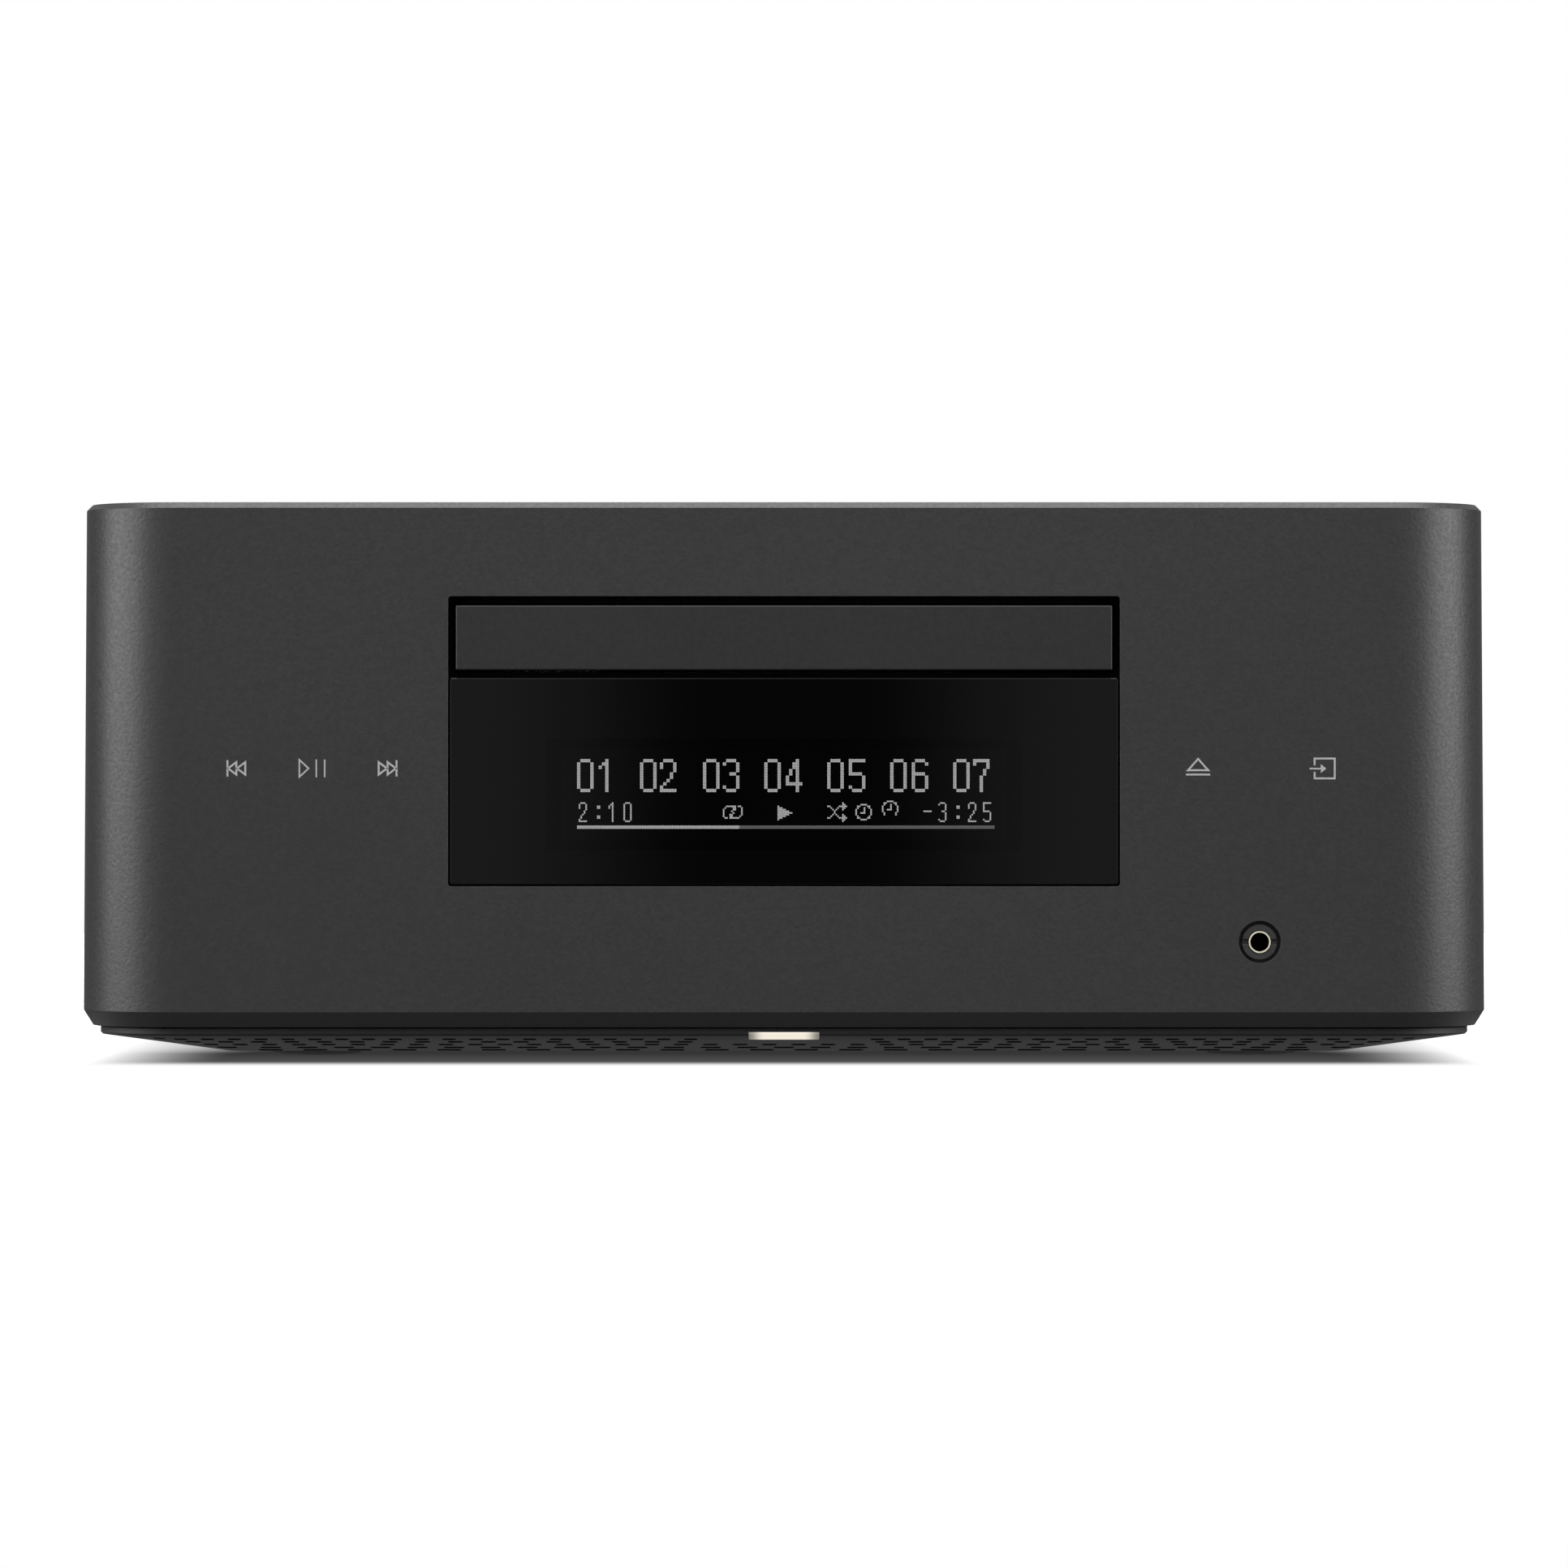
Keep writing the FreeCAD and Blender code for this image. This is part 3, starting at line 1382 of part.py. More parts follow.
def phono_sockets():
    sockets = []
    for x, z in phono_spots():
        shell = along_y(phono_r, x, panel_in_y - phono_run, z, panel_out_y - panel_in_y + phono_run * 2)
        bezel = along_y(phono_bezel_r, x, panel_out_y, z, terminal_block_t)
        bore = along_y(phono_bore_r, x, panel_out_y, z, phono_run)
        sockets.append(joined([shell, bezel]).cut(bore))
    return Part.makeCompound(sockets)


def fm_socket():
    shell = along_y(fm_r, fm_x, panel_in_y - fm_run, fm_z, panel_out_y - panel_in_y + fm_run * 2)
    hex_r = fm_r + terminal_block_t / 2
    nut = Part.Face(Part.makePolygon([
        Vector(fm_x + hex_r * math.cos(math.radians(60 * step)), panel_out_y,
               fm_z + hex_r * math.sin(math.radians(60 * step))) for step in range(7)
    ])).extrude(Vector(0, terminal_block_t, 0))
    bore = along_y(fm_bore_r, fm_x, panel_out_y, fm_z, fm_run)
    return joined([shell, nut]).cut(bore)


def board_socket(x, width, height, run):
    return block(x - width / 2, x + width / 2, panel_out_y - run, panel_out_y + socket_gap,
                 board_top, board_top + height)


def network_socket():
    body = board_socket(network_x, network_w, network_h, network_port_run + wall)
    z = board_top + network_h / 2
    port = block(network_x - network_port_w / 2, network_x + network_port_w / 2,
                 panel_out_y - network_port_run, rear_y, z - network_port_h / 2, z + network_port_h / 2)
    latch = block(network_x - network_port_w / 4, network_x + network_port_w / 4,
                  panel_out_y - network_port_run, rear_y,
                  z - network_port_h / 2 - terminal_block_t * 0.6, z)
    return body.cut([port, latch])


def usb_socket():
    body = board_socket(usb_x, usb_w, usb_h, usb_port_run + wall)
    z = board_top + usb_h / 2
    port = block(usb_x - usb_port_w / 2, usb_x + usb_port_w / 2, panel_out_y - usb_port_run, rear_y,
                 z - usb_port_h / 2, z + usb_port_h / 2)
    tongue_half = usb_port_w / 2 - usb_tongue_t / 2
    tongue = block(usb_x - tongue_half, usb_x + tongue_half, panel_out_y - usb_port_run - fit_gap,
                   panel_out_y - usb_tongue_t, z + usb_port_h / 2 - usb_tongue_t * 1.6,
                   z + usb_port_h / 2 - usb_tongue_t * 0.6)
    return joined([body.cut(port), tongue])


def optical_socket():
    body = board_socket(optical_x, optical_w, optical_h, optical_port_run + wall)
    z = board_top + optical_h / 2
    half = optical_port / 2
    port = soft_block_y(optical_x - half, optical_x + half, panel_out_y - optical_port_run, rear_y,
                        z - half, z + half, half / 4)
    return body.cut(port)


def power_inlet():
    body = soft_block_y(inlet_x - inlet_w / 2 + terminal_block_t, inlet_x + inlet_w / 2 - terminal_block_t,
                        panel_out_y - inlet_run, panel_out_y + fit_gap,
                        inlet_z - inlet_h / 2 + terminal_block_t, inlet_z + inlet_h / 2 - terminal_block_t,
                        terminal_block_t)
    bezel = soft_block_y(inlet_x - inlet_w / 2, inlet_x + inlet_w / 2, panel_out_y,
                         panel_out_y + terminal_block_t / 2, inlet_z - inlet_h / 2, inlet_z + inlet_h / 2,
                         terminal_block_t)
    port_y = panel_out_y + terminal_block_t / 2 - inlet_port_run
    port = soft_block_y(inlet_x - inlet_port_w / 2, inlet_x + inlet_port_w / 2, port_y, rear_end_y,
                        inlet_z - inlet_port_h / 2, inlet_z + inlet_port_h / 2, inlet_port_h * 0.45)
    pins = [along_y(inlet_pin_r, inlet_x + side * inlet_pin_pitch / 2, port_y - fit_gap, inlet_z,
                    inlet_port_run * 0.85) for side in (-1, 1)]
    return joined([joined([body, bezel]).cut(port)] + pins)


# Rear aerials, folded down at rest
def aerial_axis_y():
    return panel_out_y + aerial_reach


def aerial_knuckle(side):
    x = side * aerial_x
    half = aerial_tongue / 2 + aerial_ear_gap + aerial_ear
    stem = along_y(aerial_base_r / 2, x, panel_in_y - aerial_base_t, aerial_z,
                   aerial_base_t + rear_panel_t + fit_gap * 2)
    base = along_y(aerial_base_r, x, panel_out_y + fit_gap, aerial_z, aerial_base_t)
    ear_top = aerial_z + aerial_r
    ears = block(x - half, x + half, panel_out_y + fit_gap * 2, aerial_axis_y(),
                 aerial_z - aerial_r, ear_top)
    knob = along_x(aerial_r, x - half, aerial_axis_y(), aerial_z, half * 2)
    slot = block(x - aerial_tongue / 2 - aerial_ear_gap, x + aerial_tongue / 2 + aerial_ear_gap,
                 aerial_axis_y() - aerial_r - fit_gap, rear_end_y, aerial_z - aerial_r * 2,
                 aerial_z + aerial_r * 2)
    pin = along_x(aerial_pin_r, x - half, aerial_axis_y(), aerial_z, half * 2)
    return joined([joined([stem, base, ears, knob]).cut(slot), pin])


def aerial_rod(side):
    x = side * aerial_x
    y = aerial_axis_y()
    tongue_r = aerial_r - fit_gap
    eye = along_x(tongue_r, x - aerial_tongue / 2, y, aerial_z, aerial_tongue)
    neck_z = aerial_z - aerial_r - fit_gap * 2
    neck = block(x - aerial_tongue / 2, x + aerial_tongue / 2, y - tongue_r * 0.8, y + tongue_r * 0.8,
                 neck_z - fit_gap, aerial_z)
    whip = Part.makeCone(aerial_r, aerial_tip_r, aerial_length, Vector(x, y, neck_z), Vector(0, 0, -1))
    tip = edges_where(whip, lambda b: b.ZMax < neck_z - aerial_length + 1e-6)
    whip = whip.makeFillet(aerial_tip_r / 2, tip)
    hole = along_x(aerial_pin_r + running_gap, x - aerial_tongue, y, aerial_z, aerial_tongue * 2)
    return joined([eye, neck, whip]).cut(hole)


def build():
    shell = case_shell()
    nodes["front_panel"] = front_panel(shell)
    nodes["case_cover"] = rear_part(shell)
    nodes["top_plate"] = top_plate()
    nodes["rear_panel"] = rear_panel()
    nodes["base_pan"] = base_pan()
    nodes["feet"] = Part.makeCompound([foot(x, y) for x, y in foot_spots()])
    nodes["light_bar"] = light_bar()
    nodes["case_screws"] = Part.makeCompound([case_screw(x, y) for x, y in screw_spots()])
    nodes["chassis_plate"] = chassis_plate()
    nodes["bay_frame"] = bay_frame()
    nodes["display_window"] = display_window()
    nodes["display_module"] = display_module()
    nodes["front_board"] = front_board()
    nodes["touch_boards"] = touch_boards()
    nodes["headphone_socket"] = headphone_socket()
    nodes["headphone_nut"] = headphone_nut()
    nodes["mech_bracket"] = mech_bracket()
    nodes["loader_dampers"] = loader_dampers()
    nodes["loader_frame"] = loader_frame()
    nodes["clamp_bridge"] = clamp_bridge()
    nodes["clamp_puck"] = clamp_puck()
    nodes["loading_motor"] = loading_motor()
    nodes["motor_pulley"] = motor_pulley()
    nodes["drive_belt"] = drive_belt()
    nodes["pulley_gear"] = pulley_gear()
    nodes["tray_gear"] = tray_gear()
    nodes["tray"] = tray()
    nodes["tray_cover"] = tray_cover()
    nodes["lift_slider"] = lift_slider()
    nodes["traverse_plate"] = traverse_plate()
    nodes["spindle_motor"] = spindle_motor()
    nodes["turntable"] = turntable()
    nodes["guide_rods"] = guide_rods()
    nodes["sled_motor"] = sled_motor()
    nodes["sled_screw"] = sled_screw()
    nodes["pickup_sled"] = pickup_sled()
    nodes["pickup_lens"] = pickup_lens()
    nodes["main_board"] = main_board()
    nodes["amp_heatsink"] = amp_heatsink()
    nodes["power_board"] = power_board()
    nodes["transformer"] = transformer()
    nodes["capacitors"] = capacitors()
    nodes["network_module"] = network_module()
    nodes["ribbon_cable"] = ribbon_cable()
    nodes["terminal_block"] = terminal_block()
    nodes["terminal_posts"] = terminal_posts()
    for number, x in enumerate(post_spots, start=1):
        nodes[f"terminal_cap_{number}"] = terminal_cap(x)
    nodes["phono_sockets"] = phono_sockets()
    nodes["network_socket"] = network_socket()
    nodes["usb_socket"] = usb_socket()
    nodes["optical_socket"] = optical_socket()
    nodes["fm_socket"] = fm_socket()
    nodes["power_inlet"] = power_inlet()
    for name, side in (("left", -1), ("right", 1)):
        nodes[f"aerial_knuckle_{name}"] = aerial_knuckle(side)
        nodes[f"aerial_rod_{name}"] = aerial_rod(side)


build()
os.makedirs("parts", exist_ok=True)
for name, shape in nodes.items():
    shape.exportStep(f"parts/{name}.step")
    print(f"{name}: {len(shape.Solids)} solid(s), valid {shape.isValid()}, {shape.Volume:.0f} mm3")
print(f"nodes: {len(nodes)}")
print(f"gear axes: {gear_x:.3f} {pinion_x:.3f} {motor_x:.3f} at y {gear_y:.3f}")
print(f"disc centre y {disc_y:.3f}, disc z {disc_z:.3f}, pivot y {pivot_y:.3f} z {rod_z:.3f}")
print(f"lift angle {lift_angle:.3f} degrees")
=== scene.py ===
import json
import math

import bpy
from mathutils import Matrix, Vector

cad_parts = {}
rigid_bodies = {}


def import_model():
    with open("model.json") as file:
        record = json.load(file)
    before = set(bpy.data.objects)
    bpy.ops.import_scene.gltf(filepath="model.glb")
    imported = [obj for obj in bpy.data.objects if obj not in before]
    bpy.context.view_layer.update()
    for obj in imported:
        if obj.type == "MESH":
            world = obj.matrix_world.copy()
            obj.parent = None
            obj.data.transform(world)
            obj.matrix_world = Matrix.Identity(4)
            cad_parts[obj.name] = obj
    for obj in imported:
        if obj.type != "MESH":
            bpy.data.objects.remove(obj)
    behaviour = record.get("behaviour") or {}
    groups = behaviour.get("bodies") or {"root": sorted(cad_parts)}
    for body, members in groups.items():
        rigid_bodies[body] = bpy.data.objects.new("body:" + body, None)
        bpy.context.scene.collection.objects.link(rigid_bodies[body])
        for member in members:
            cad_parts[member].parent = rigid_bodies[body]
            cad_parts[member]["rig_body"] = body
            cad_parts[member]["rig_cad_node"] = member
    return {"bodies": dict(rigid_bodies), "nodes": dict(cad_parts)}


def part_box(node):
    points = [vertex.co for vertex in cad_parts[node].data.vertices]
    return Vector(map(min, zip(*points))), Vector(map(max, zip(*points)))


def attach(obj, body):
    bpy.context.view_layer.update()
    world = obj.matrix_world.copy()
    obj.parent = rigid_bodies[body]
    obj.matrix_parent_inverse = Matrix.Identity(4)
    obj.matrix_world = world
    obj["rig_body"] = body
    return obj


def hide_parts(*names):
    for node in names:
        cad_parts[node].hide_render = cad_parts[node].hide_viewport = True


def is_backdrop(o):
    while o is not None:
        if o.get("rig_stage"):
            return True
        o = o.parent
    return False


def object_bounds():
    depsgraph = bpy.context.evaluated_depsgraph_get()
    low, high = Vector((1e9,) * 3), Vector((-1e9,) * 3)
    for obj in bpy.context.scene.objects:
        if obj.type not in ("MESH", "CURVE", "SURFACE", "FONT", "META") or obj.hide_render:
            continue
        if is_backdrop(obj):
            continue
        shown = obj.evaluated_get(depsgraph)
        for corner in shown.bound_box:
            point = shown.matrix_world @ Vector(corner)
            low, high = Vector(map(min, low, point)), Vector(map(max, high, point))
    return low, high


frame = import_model()
cadLow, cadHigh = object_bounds()
bpy.ops.object.select_all(action="DESELECT")
nodes = frame["nodes"]
bodyOf = {node: body for body, empty in frame["bodies"].items()
          for node in nodes if nodes[node].parent == empty}
mm = 0.001


# Small helpers for nodes, selections and finished pieces
def linear(hexColour):
    parts = [int(hexColour[i:i + 2], 16) / 255 for i in (1, 3, 5)]
    return tuple(c / 12.92 if c <= 0.04045 else ((c + 0.055) / 1.055) ** 2.4 for c in parts) + (1.0,)


def addNode(tree, kind, inputs=None, **settings):
    node = tree.nodes.new(kind)
    for name, value in settings.items():
        setattr(node, name, value)
    for name, value in (inputs or {}).items():
        if isinstance(value, tuple) and isinstance(value[0], bpy.types.Node):
            tree.links.new(value[0].outputs[value[1]], node.inputs[name])
        else:
            node.inputs[name].default_value = value
    return node


def startMaterial(name, shaderInputs):
    material = bpy.data.materials.new(name)
    material.use_nodes = True
    tree = material.node_tree
    tree.nodes.clear()
    shader = addNode(tree, "ShaderNodeBsdfPrincipled", shaderInputs)
    addNode(tree, "ShaderNodeOutputMaterial", {"Surface": (shader, "BSDF")})
    where = addNode(tree, "ShaderNodeTexCoord")
    return material, tree, shader, where


def only(piece):
    bpy.ops.object.select_all(action="DESELECT")
    piece.select_set(True)
    bpy.context.view_layer.objects.active = piece


def inEdit(piece, chooseFace=None):
    only(piece)
    bpy.ops.object.mode_set(mode="EDIT")
    bpy.ops.mesh.select_mode(type="FACE")
    bpy.ops.mesh.select_all(action="SELECT" if chooseFace is None else "DESELECT")
    if chooseFace is not None:
        bpy.ops.object.mode_set(mode="OBJECT")
        for face in piece.data.polygons:
            face.select = chooseFace(face)
        bpy.ops.object.mode_set(mode="EDIT")


def dropFaces(piece, chooseFace):
    inEdit(piece, chooseFace)
    bpy.ops.mesh.delete(type="FACE")
    bpy.ops.object.mode_set(mode="OBJECT")


def faceOutward(piece):
    inEdit(piece)
    bpy.ops.mesh.normals_make_consistent(inside=False)
    bpy.ops.object.mode_set(mode="OBJECT")


def applyModifier(piece, kind, **settings):
    only(piece)
    modifier = piece.modifiers.new(kind.lower(), kind)
    for name, value in settings.items():
        setattr(modifier, name, value)
    bpy.ops.object.modifier_apply(modifier=modifier.name)


def settle(piece, name, material, body="case"):
    only(piece)
    if bpy.context.mode != "OBJECT":
        bpy.ops.object.mode_set(mode="OBJECT")
    bpy.ops.object.transform_apply(location=True, rotation=True, scale=True)
    piece.name = name
    piece.data.name = name
    piece.data.materials.clear()
    piece.data.materials.append(material)
    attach(piece, body)
    piece.select_set(False)


def join(pieces):
    bpy.ops.object.select_all(action="DESELECT")
    for piece in pieces:
        piece.select_set(True)
    bpy.context.view_layer.objects.active = pieces[0]
    bpy.ops.object.join()
    return bpy.context.view_layer.objects.active


# One piece copied to every place, turned there where turns are given, and joined
def repeatAt(piece, places, turns=None):
    copies = []
    for order, place in enumerate(places):
        copy = piece.copy()
        copy.data = piece.data.copy()
        copy.location = place
        if turns:
            copy.rotation_euler = turns[order]
        bpy.context.scene.collection.objects.link(copy)
        copies.append(copy)
    bpy.data.objects.remove(piece)
    return join(copies)


# Camera: level, straight in front, as high as the middle of the case
camera = {"distance": 1.34, "height": 0.05506, "lens": 155.56, "sensor": 36.0}
view = bpy.data.cameras.new("viewCamera")
view.lens = camera["lens"]
view.sensor_width = camera["sensor"]
viewObject = bpy.data.objects.new("viewCamera", view)
viewObject.location = (0, cadLow.y - camera["distance"], camera["height"])
viewObject.rotation_euler = (math.radians(90), 0, 0)
bpy.context.scene.collection.objects.link(viewObject)
bpy.context.scene.camera = viewObject
bpy.context.scene.view_settings.view_transform = "Standard"
print("camera set")

# The parts of the two noises' span that are used, for the colours and for the gloss
noise = {"patchDetail": 3.0, "grainDetail": 2.0, "blendSpan": (0.12, 0.38), "grainSpan": (0.3, 0.7)}


# Finishes: a colour that drifts to its second tone over patches, with a grain that gives bump and gloss
# their detail. Patch, grain and bump depth are in millimetres
def finish(name, colour, tone, patch, grain, depth, roughness, spread, stretch=(1, 1, 1), **shaderInputs):
    material, tree, shader, where = startMaterial(name, shaderInputs)
    place = addNode(tree, "ShaderNodeMapping", {"Vector": (where, "Object"), "Scale": stretch})
    patches = addNode(tree, "ShaderNodeTexNoise", {"Vector": (place, "Vector"), "Scale": 1 / (patch * mm),
                                                   "Detail": noise["patchDetail"]})
    grains = addNode(tree, "ShaderNodeTexNoise", {"Vector": (place, "Vector"), "Scale": 1 / (grain * mm),
                                                  "Detail": noise["grainDetail"]})
    blend = addNode(tree, "ShaderNodeMath", {0: (patches, "Fac"), 1: (grains, "Fac")}, operation="MULTIPLY")
    low, high = noise["blendSpan"]
    contrast = addNode(tree, "ShaderNodeMapRange", {"Value": (blend, 0), "From Min": low, "From Max": high})
    base = addNode(tree, "ShaderNodeMix", {0: (contrast, 0), 6: linear(colour), 7: linear(tone)}, data_type="RGBA")
    low, high = noise["grainSpan"]
    gloss = addNode(tree, "ShaderNodeMapRange", {"Value": (grains, "Fac"), "From Min": low, "From Max": high,
                                                 "To Min": roughness - spread, "To Max": roughness + spread})
    relief = addNode(tree, "ShaderNodeBump", {"Height": (grains, "Fac"), "Distance": depth * mm, "Strength": 1.0})
    tree.links.new(base.outputs[2], shader.inputs["Base Color"])
    tree.links.new(gloss.outputs[0], shader.inputs["Roughness"])
    tree.links.new(relief.outputs["Normal"], shader.inputs["Normal"])
    return material


# A second finish on part of a node: between limits along the axes, such as the chips above a board, or on
# the ring between a bore and a radius, which repeats at a pitch where the node has several such places
def secondFinish(material, colour, roughness, metallic=0.0, limits=(), ring=None):
    tree = material.node_tree
    where = tree.nodes["Texture Coordinate"]
    place = addNode(tree, "ShaderNodeSeparateXYZ", {0: (where, "Object")})
    tests = []
    for axis, low, high in limits:
        along = (place, "XYZ".index(axis))
        for level, operation in ((low, "GREATER_THAN"), (high, "LESS_THAN")):
            if level is not None:
                tests.append(addNode(tree, "ShaderNodeMath", {0: along, 1: level * mm}, operation=operation))
    if ring:
        axis, centre, bore, radius, pitch = ring
        centre, half = Vector(centre) * mm, Vector((1, 1, 1)) * pitch / 2 * mm
        flat = [0.0 if letter == axis else 1.0 for letter in "XYZ"]
        nearest = addNode(tree, "ShaderNodeVectorMath",
                          {0: (where, "Object"), 1: centre + half, 2: centre - half}, operation="WRAP")
        away = addNode(tree, "ShaderNodeVectorMath", {0: (nearest, 0), 1: centre}, operation="SUBTRACT")
        inPlane = addNode(tree, "ShaderNodeVectorMath", {0: (away, 0), 1: flat}, operation="MULTIPLY")
        reach = addNode(tree, "ShaderNodeVectorMath", {0: (inPlane, 0)}, operation="LENGTH")
        out = (reach, "Value")
        for level, operation in ((radius, "LESS_THAN"), (bore, "GREATER_THAN")):
            tests.append(addNode(tree, "ShaderNodeMath", {0: out, 1: level * mm}, operation=operation))
    mask = tests[0]
    for test in tests[1:]:
        mask = addNode(tree, "ShaderNodeMath", {0: (mask, 0), 1: (test, 0)}, operation="MULTIPLY")
    overlay(tree, tree.nodes["Principled BSDF"], mask, colour, roughness, metallic)


def overlay(tree, shader, mask, colour, roughness, metallic):
    for name, value in (("Base Color", linear(colour)), ("Roughness", roughness), ("Metallic", metallic)):
        socket = shader.inputs[name]
        kind = "RGBA" if name == "Base Color" else "FLOAT"
        first, second, out = (6, 7, 2) if kind == "RGBA" else (2, 3, 0)
        mix = addNode(tree, "ShaderNodeMix", {0: (mask, 0)}, data_type=kind)
        if socket.is_linked:
            tree.links.new(socket.links[0].from_socket, mix.inputs[first])
        else:
            mix.inputs[first].default_value = socket.default_value
        mix.inputs[second].default_value = value
        tree.links.new(mix.outputs[out], socket)


# Satin paint on ABS: dark grey, its fine grain breaks up the light on the corners
satinPaint = finish("satinPaintedAbs", "#363637", "#39393a", 60, 0.7, 0.05, 0.41, 0.07)
trayPaint = finish("satinPaintedTrayCover", "#29292a", "#2c2c2d", 60, 0.7, 0.016, 0.45, 0.05)
# Polished black sheet: deep black, a soft mirror, its shine kept low so that lamps in it stay dim
blackAcrylic = finish("polishedAcrylic", "#0b0b0c", "#0e0e10", 50, 3.0, 0.0002, 0.12, 0.004,
                      **{"Specular IOR Level": 0.12})
# Powder coat on steel: low sheen with an orange-peel surface
powderCoat = finish("powderCoatedSteel", "#161617", "#1b1b1c", 25, 0.9, 0.03, 0.5, 0.08)
# Grained ABS: moulded against a spark-eroded tool, so it is flat and dusty grey
grainedAbs = finish("grainedAbs", "#343435", "#393939", 30, 0.35, 0.02, 0.58, 0.06)
mattAbs = finish("mouldedBlackAbs", "#0c0c0c", "#111111", 20, 0.4, 0.01, 0.55, 0.06)
# Matt black bay round the tray: black plastic, coloured darker still as painted shade, so the gap round the tray
# is black
bayBlackAndShade = finish("mattBlackBayWithShade", "#020202", "#040404", 20, 0.4, 0.01, 0.9, 0.05,
                    **{"Specular IOR Level": 0.1})
trayPlastic = finish("grainedBlackTray", "#17171a", "#1d1d1f", 30, 0.3, 0.012, 0.45, 0.06)
# Grey rubber feet, coloured paler as painted light, so that in the shade under the pan they are no darker than the
# shade round them
rubberWithPaintedLight = finish("rubberWithPaintedLight", "#565656", "#5e5e5e", 6, 0.5, 0.03, 0.85, 0.08)
damperRubber = finish("softDamperRubber", "#1d1d1f", "#262628", 4, 0.4, 0.02, 0.8, 0.08)
beltRubber = finish("groundBeltRubber", "#0b0b0b", "#151515", 3, 0.25, 0.02, 0.9, 0.05)
# Painted shade on the walls of the pan's slots, upright faces below its top edge: coloured near black, so that the
# slots read as black lines
slotShade = {"colour": "#040404", "roughness": 0.9, "upright": 0.5, "top": 5.05}
panTree = grainedAbs.node_tree
panPlace = addNode(panTree, "ShaderNodeSeparateXYZ", {0: (panTree.nodes["Texture Coordinate"], "Object")})
panFace = addNode(panTree, "ShaderNodeNewGeometry")
panNormal = addNode(panTree, "ShaderNodeSeparateXYZ", {0: (panFace, "True Normal")})
panLevel = addNode(panTree, "ShaderNodeMath", {0: (panNormal, 2)}, operation="ABSOLUTE")
panUpright = addNode(panTree, "ShaderNodeMath", {0: (panLevel, 0), 1: slotShade["upright"]}, operation="LESS_THAN")
panBelow = addNode(panTree, "ShaderNodeMath", {0: (panPlace, 2), 1: slotShade["top"] * mm}, operation="LESS_THAN")
panSlotShade = addNode(panTree, "ShaderNodeMath", {0: (panUpright, 0), 1: (panBelow, 0)}, operation="MULTIPLY")
overlay(panTree, panTree.nodes["Principled BSDF"], panSlotShade, slotShade["colour"], slotShade["roughness"], 0.0)
# Zinc-plated sheet: bluish bright metal with cloudy patches
zincSheet = finish("zincPlatedSheet", "#b4b8bc", "#c9cccf", 7, 1.2, 0.001, 0.38, 0.06, Metallic=1.0)
platedScrew = finish("blackPlatedScrew", "#2c2c2e", "#3a3a3c", 3, 0.3, 0.006, 0.38, 0.08, Metallic=0.8)
drawnCan = finish("drawnSteelCan", "#a9abad", "#bfc1c3", 8, 0.5, 0.004, 0.3, 0.08, (1, 1, 0.1), Metallic=1.0)
groundSteel = finish("groundSteelRod", "#b7b9bb", "#d0d2d4", 5, 0.3, 0.001, 0.18, 0.06, (1, 0.08, 1),
                     Metallic=1.0)
dieCast = finish("dieCastAlloy", "#8f9193", "#a6a8aa", 4, 0.4, 0.02, 0.5, 0.1, Metallic=1.0)
extrusion = finish("extrudedAluminium", "#9fa2a5", "#b5b8ba", 5, 0.35, 0.006, 0.36, 0.08, (1, 1, 0.06),
                   Metallic=1.0)
gold = ("#e2b660", "#f0cb7e", 5, 0.35, 0.002, 0.22, 0.06)
goldFlash = finish("goldFlashedBrass", *gold, Metallic=1.0)
acetal = finish("mouldedAcetal", "#d8d5cb", "#e4e2da", 8, 0.5, 0.004, 0.4, 0.05,
                **{"Subsurface Weight": 0.15, "Subsurface Scale": 0.001})
puckAbs = finish("mouldedWhiteAbs", "#c3c3be", "#d2d2cd", 10, 0.4, 0.004, 0.42, 0.05)
capRed = finish("redCapPolycarbonate", "#9d1414", "#b01c1c", 6, 0.6, 0.002, 0.18, 0.05, **{"Coat Weight": 0.4})
capBlack = finish("blackCapPolycarbonate", "#111112", "#1a1a1b", 6, 0.6, 0.002, 0.2, 0.05, **{"Coat Weight": 0.4})
flatCable = finish("flatCableSleeve", "#d4d4cf", "#e0e0dc", 5, 0.5, 0.004, 0.42, 0.05, (20, 1, 1))
aerialAbs = finish("mouldedAerialAbs", "#121213", "#19191a", 15, 0.35, 0.008, 0.5, 0.06)
lensCoat = finish("coatedLensGlass", "#4a4270", "#5a5288", 2, 0.6, 0.0005, 0.04, 0.01, **{"Coat Weight": 1.0})
# Solder mask over glass-fibre board: green with lighter streaks. What stands above a board has its own finish
tops = {"boards": 18.05, "core": 38.0, "cans": 49.2}
aboveBoard = [("Z", tops["boards"], None)]
solderMask = ("#0d4a2c", "#1a6b40", 5, 1.1, 0.03, 0.3, 0.05)
greenBoard = finish("solderMaskBoard", *solderMask, (1, 0.25, 1))
secondFinish(greenBoard, "#17171a", 0.45, limits=aboveBoard)
frontBoards = finish("solderMaskFrontBoard", *solderMask, (0.25, 1, 1))
radioBoard = finish("solderMaskRadioBoard", *solderMask, (1, 0.25, 1))
secondFinish(radioBoard, "#c4c6c6", 0.3, 1.0, limits=aboveBoard)
tanBoard = finish("phenolicBoard", "#8f6c3c", "#a8834e", 6, 1.4, 0.02, 0.5, 0.06)
secondFinish(tanBoard, "#2a2a2c", 0.5, limits=aboveBoard)
woundCore = finish("ferriteCore", "#222224", "#2e2e30", 5, 0.5, 0.02, 0.6, 0.08)
secondFinish(woundCore, "#c9a21f", 0.35, limits=[("Z", None, tops["core"])])
canSleeve = finish("shrinkSleeve", "#12131a", "#1c1d26", 9, 0.8, 0.003, 0.3, 0.05)
secondFinish(canSleeve, "#b9bbbd", 0.3, 1.0, limits=[("Z", tops["cans"], None)])
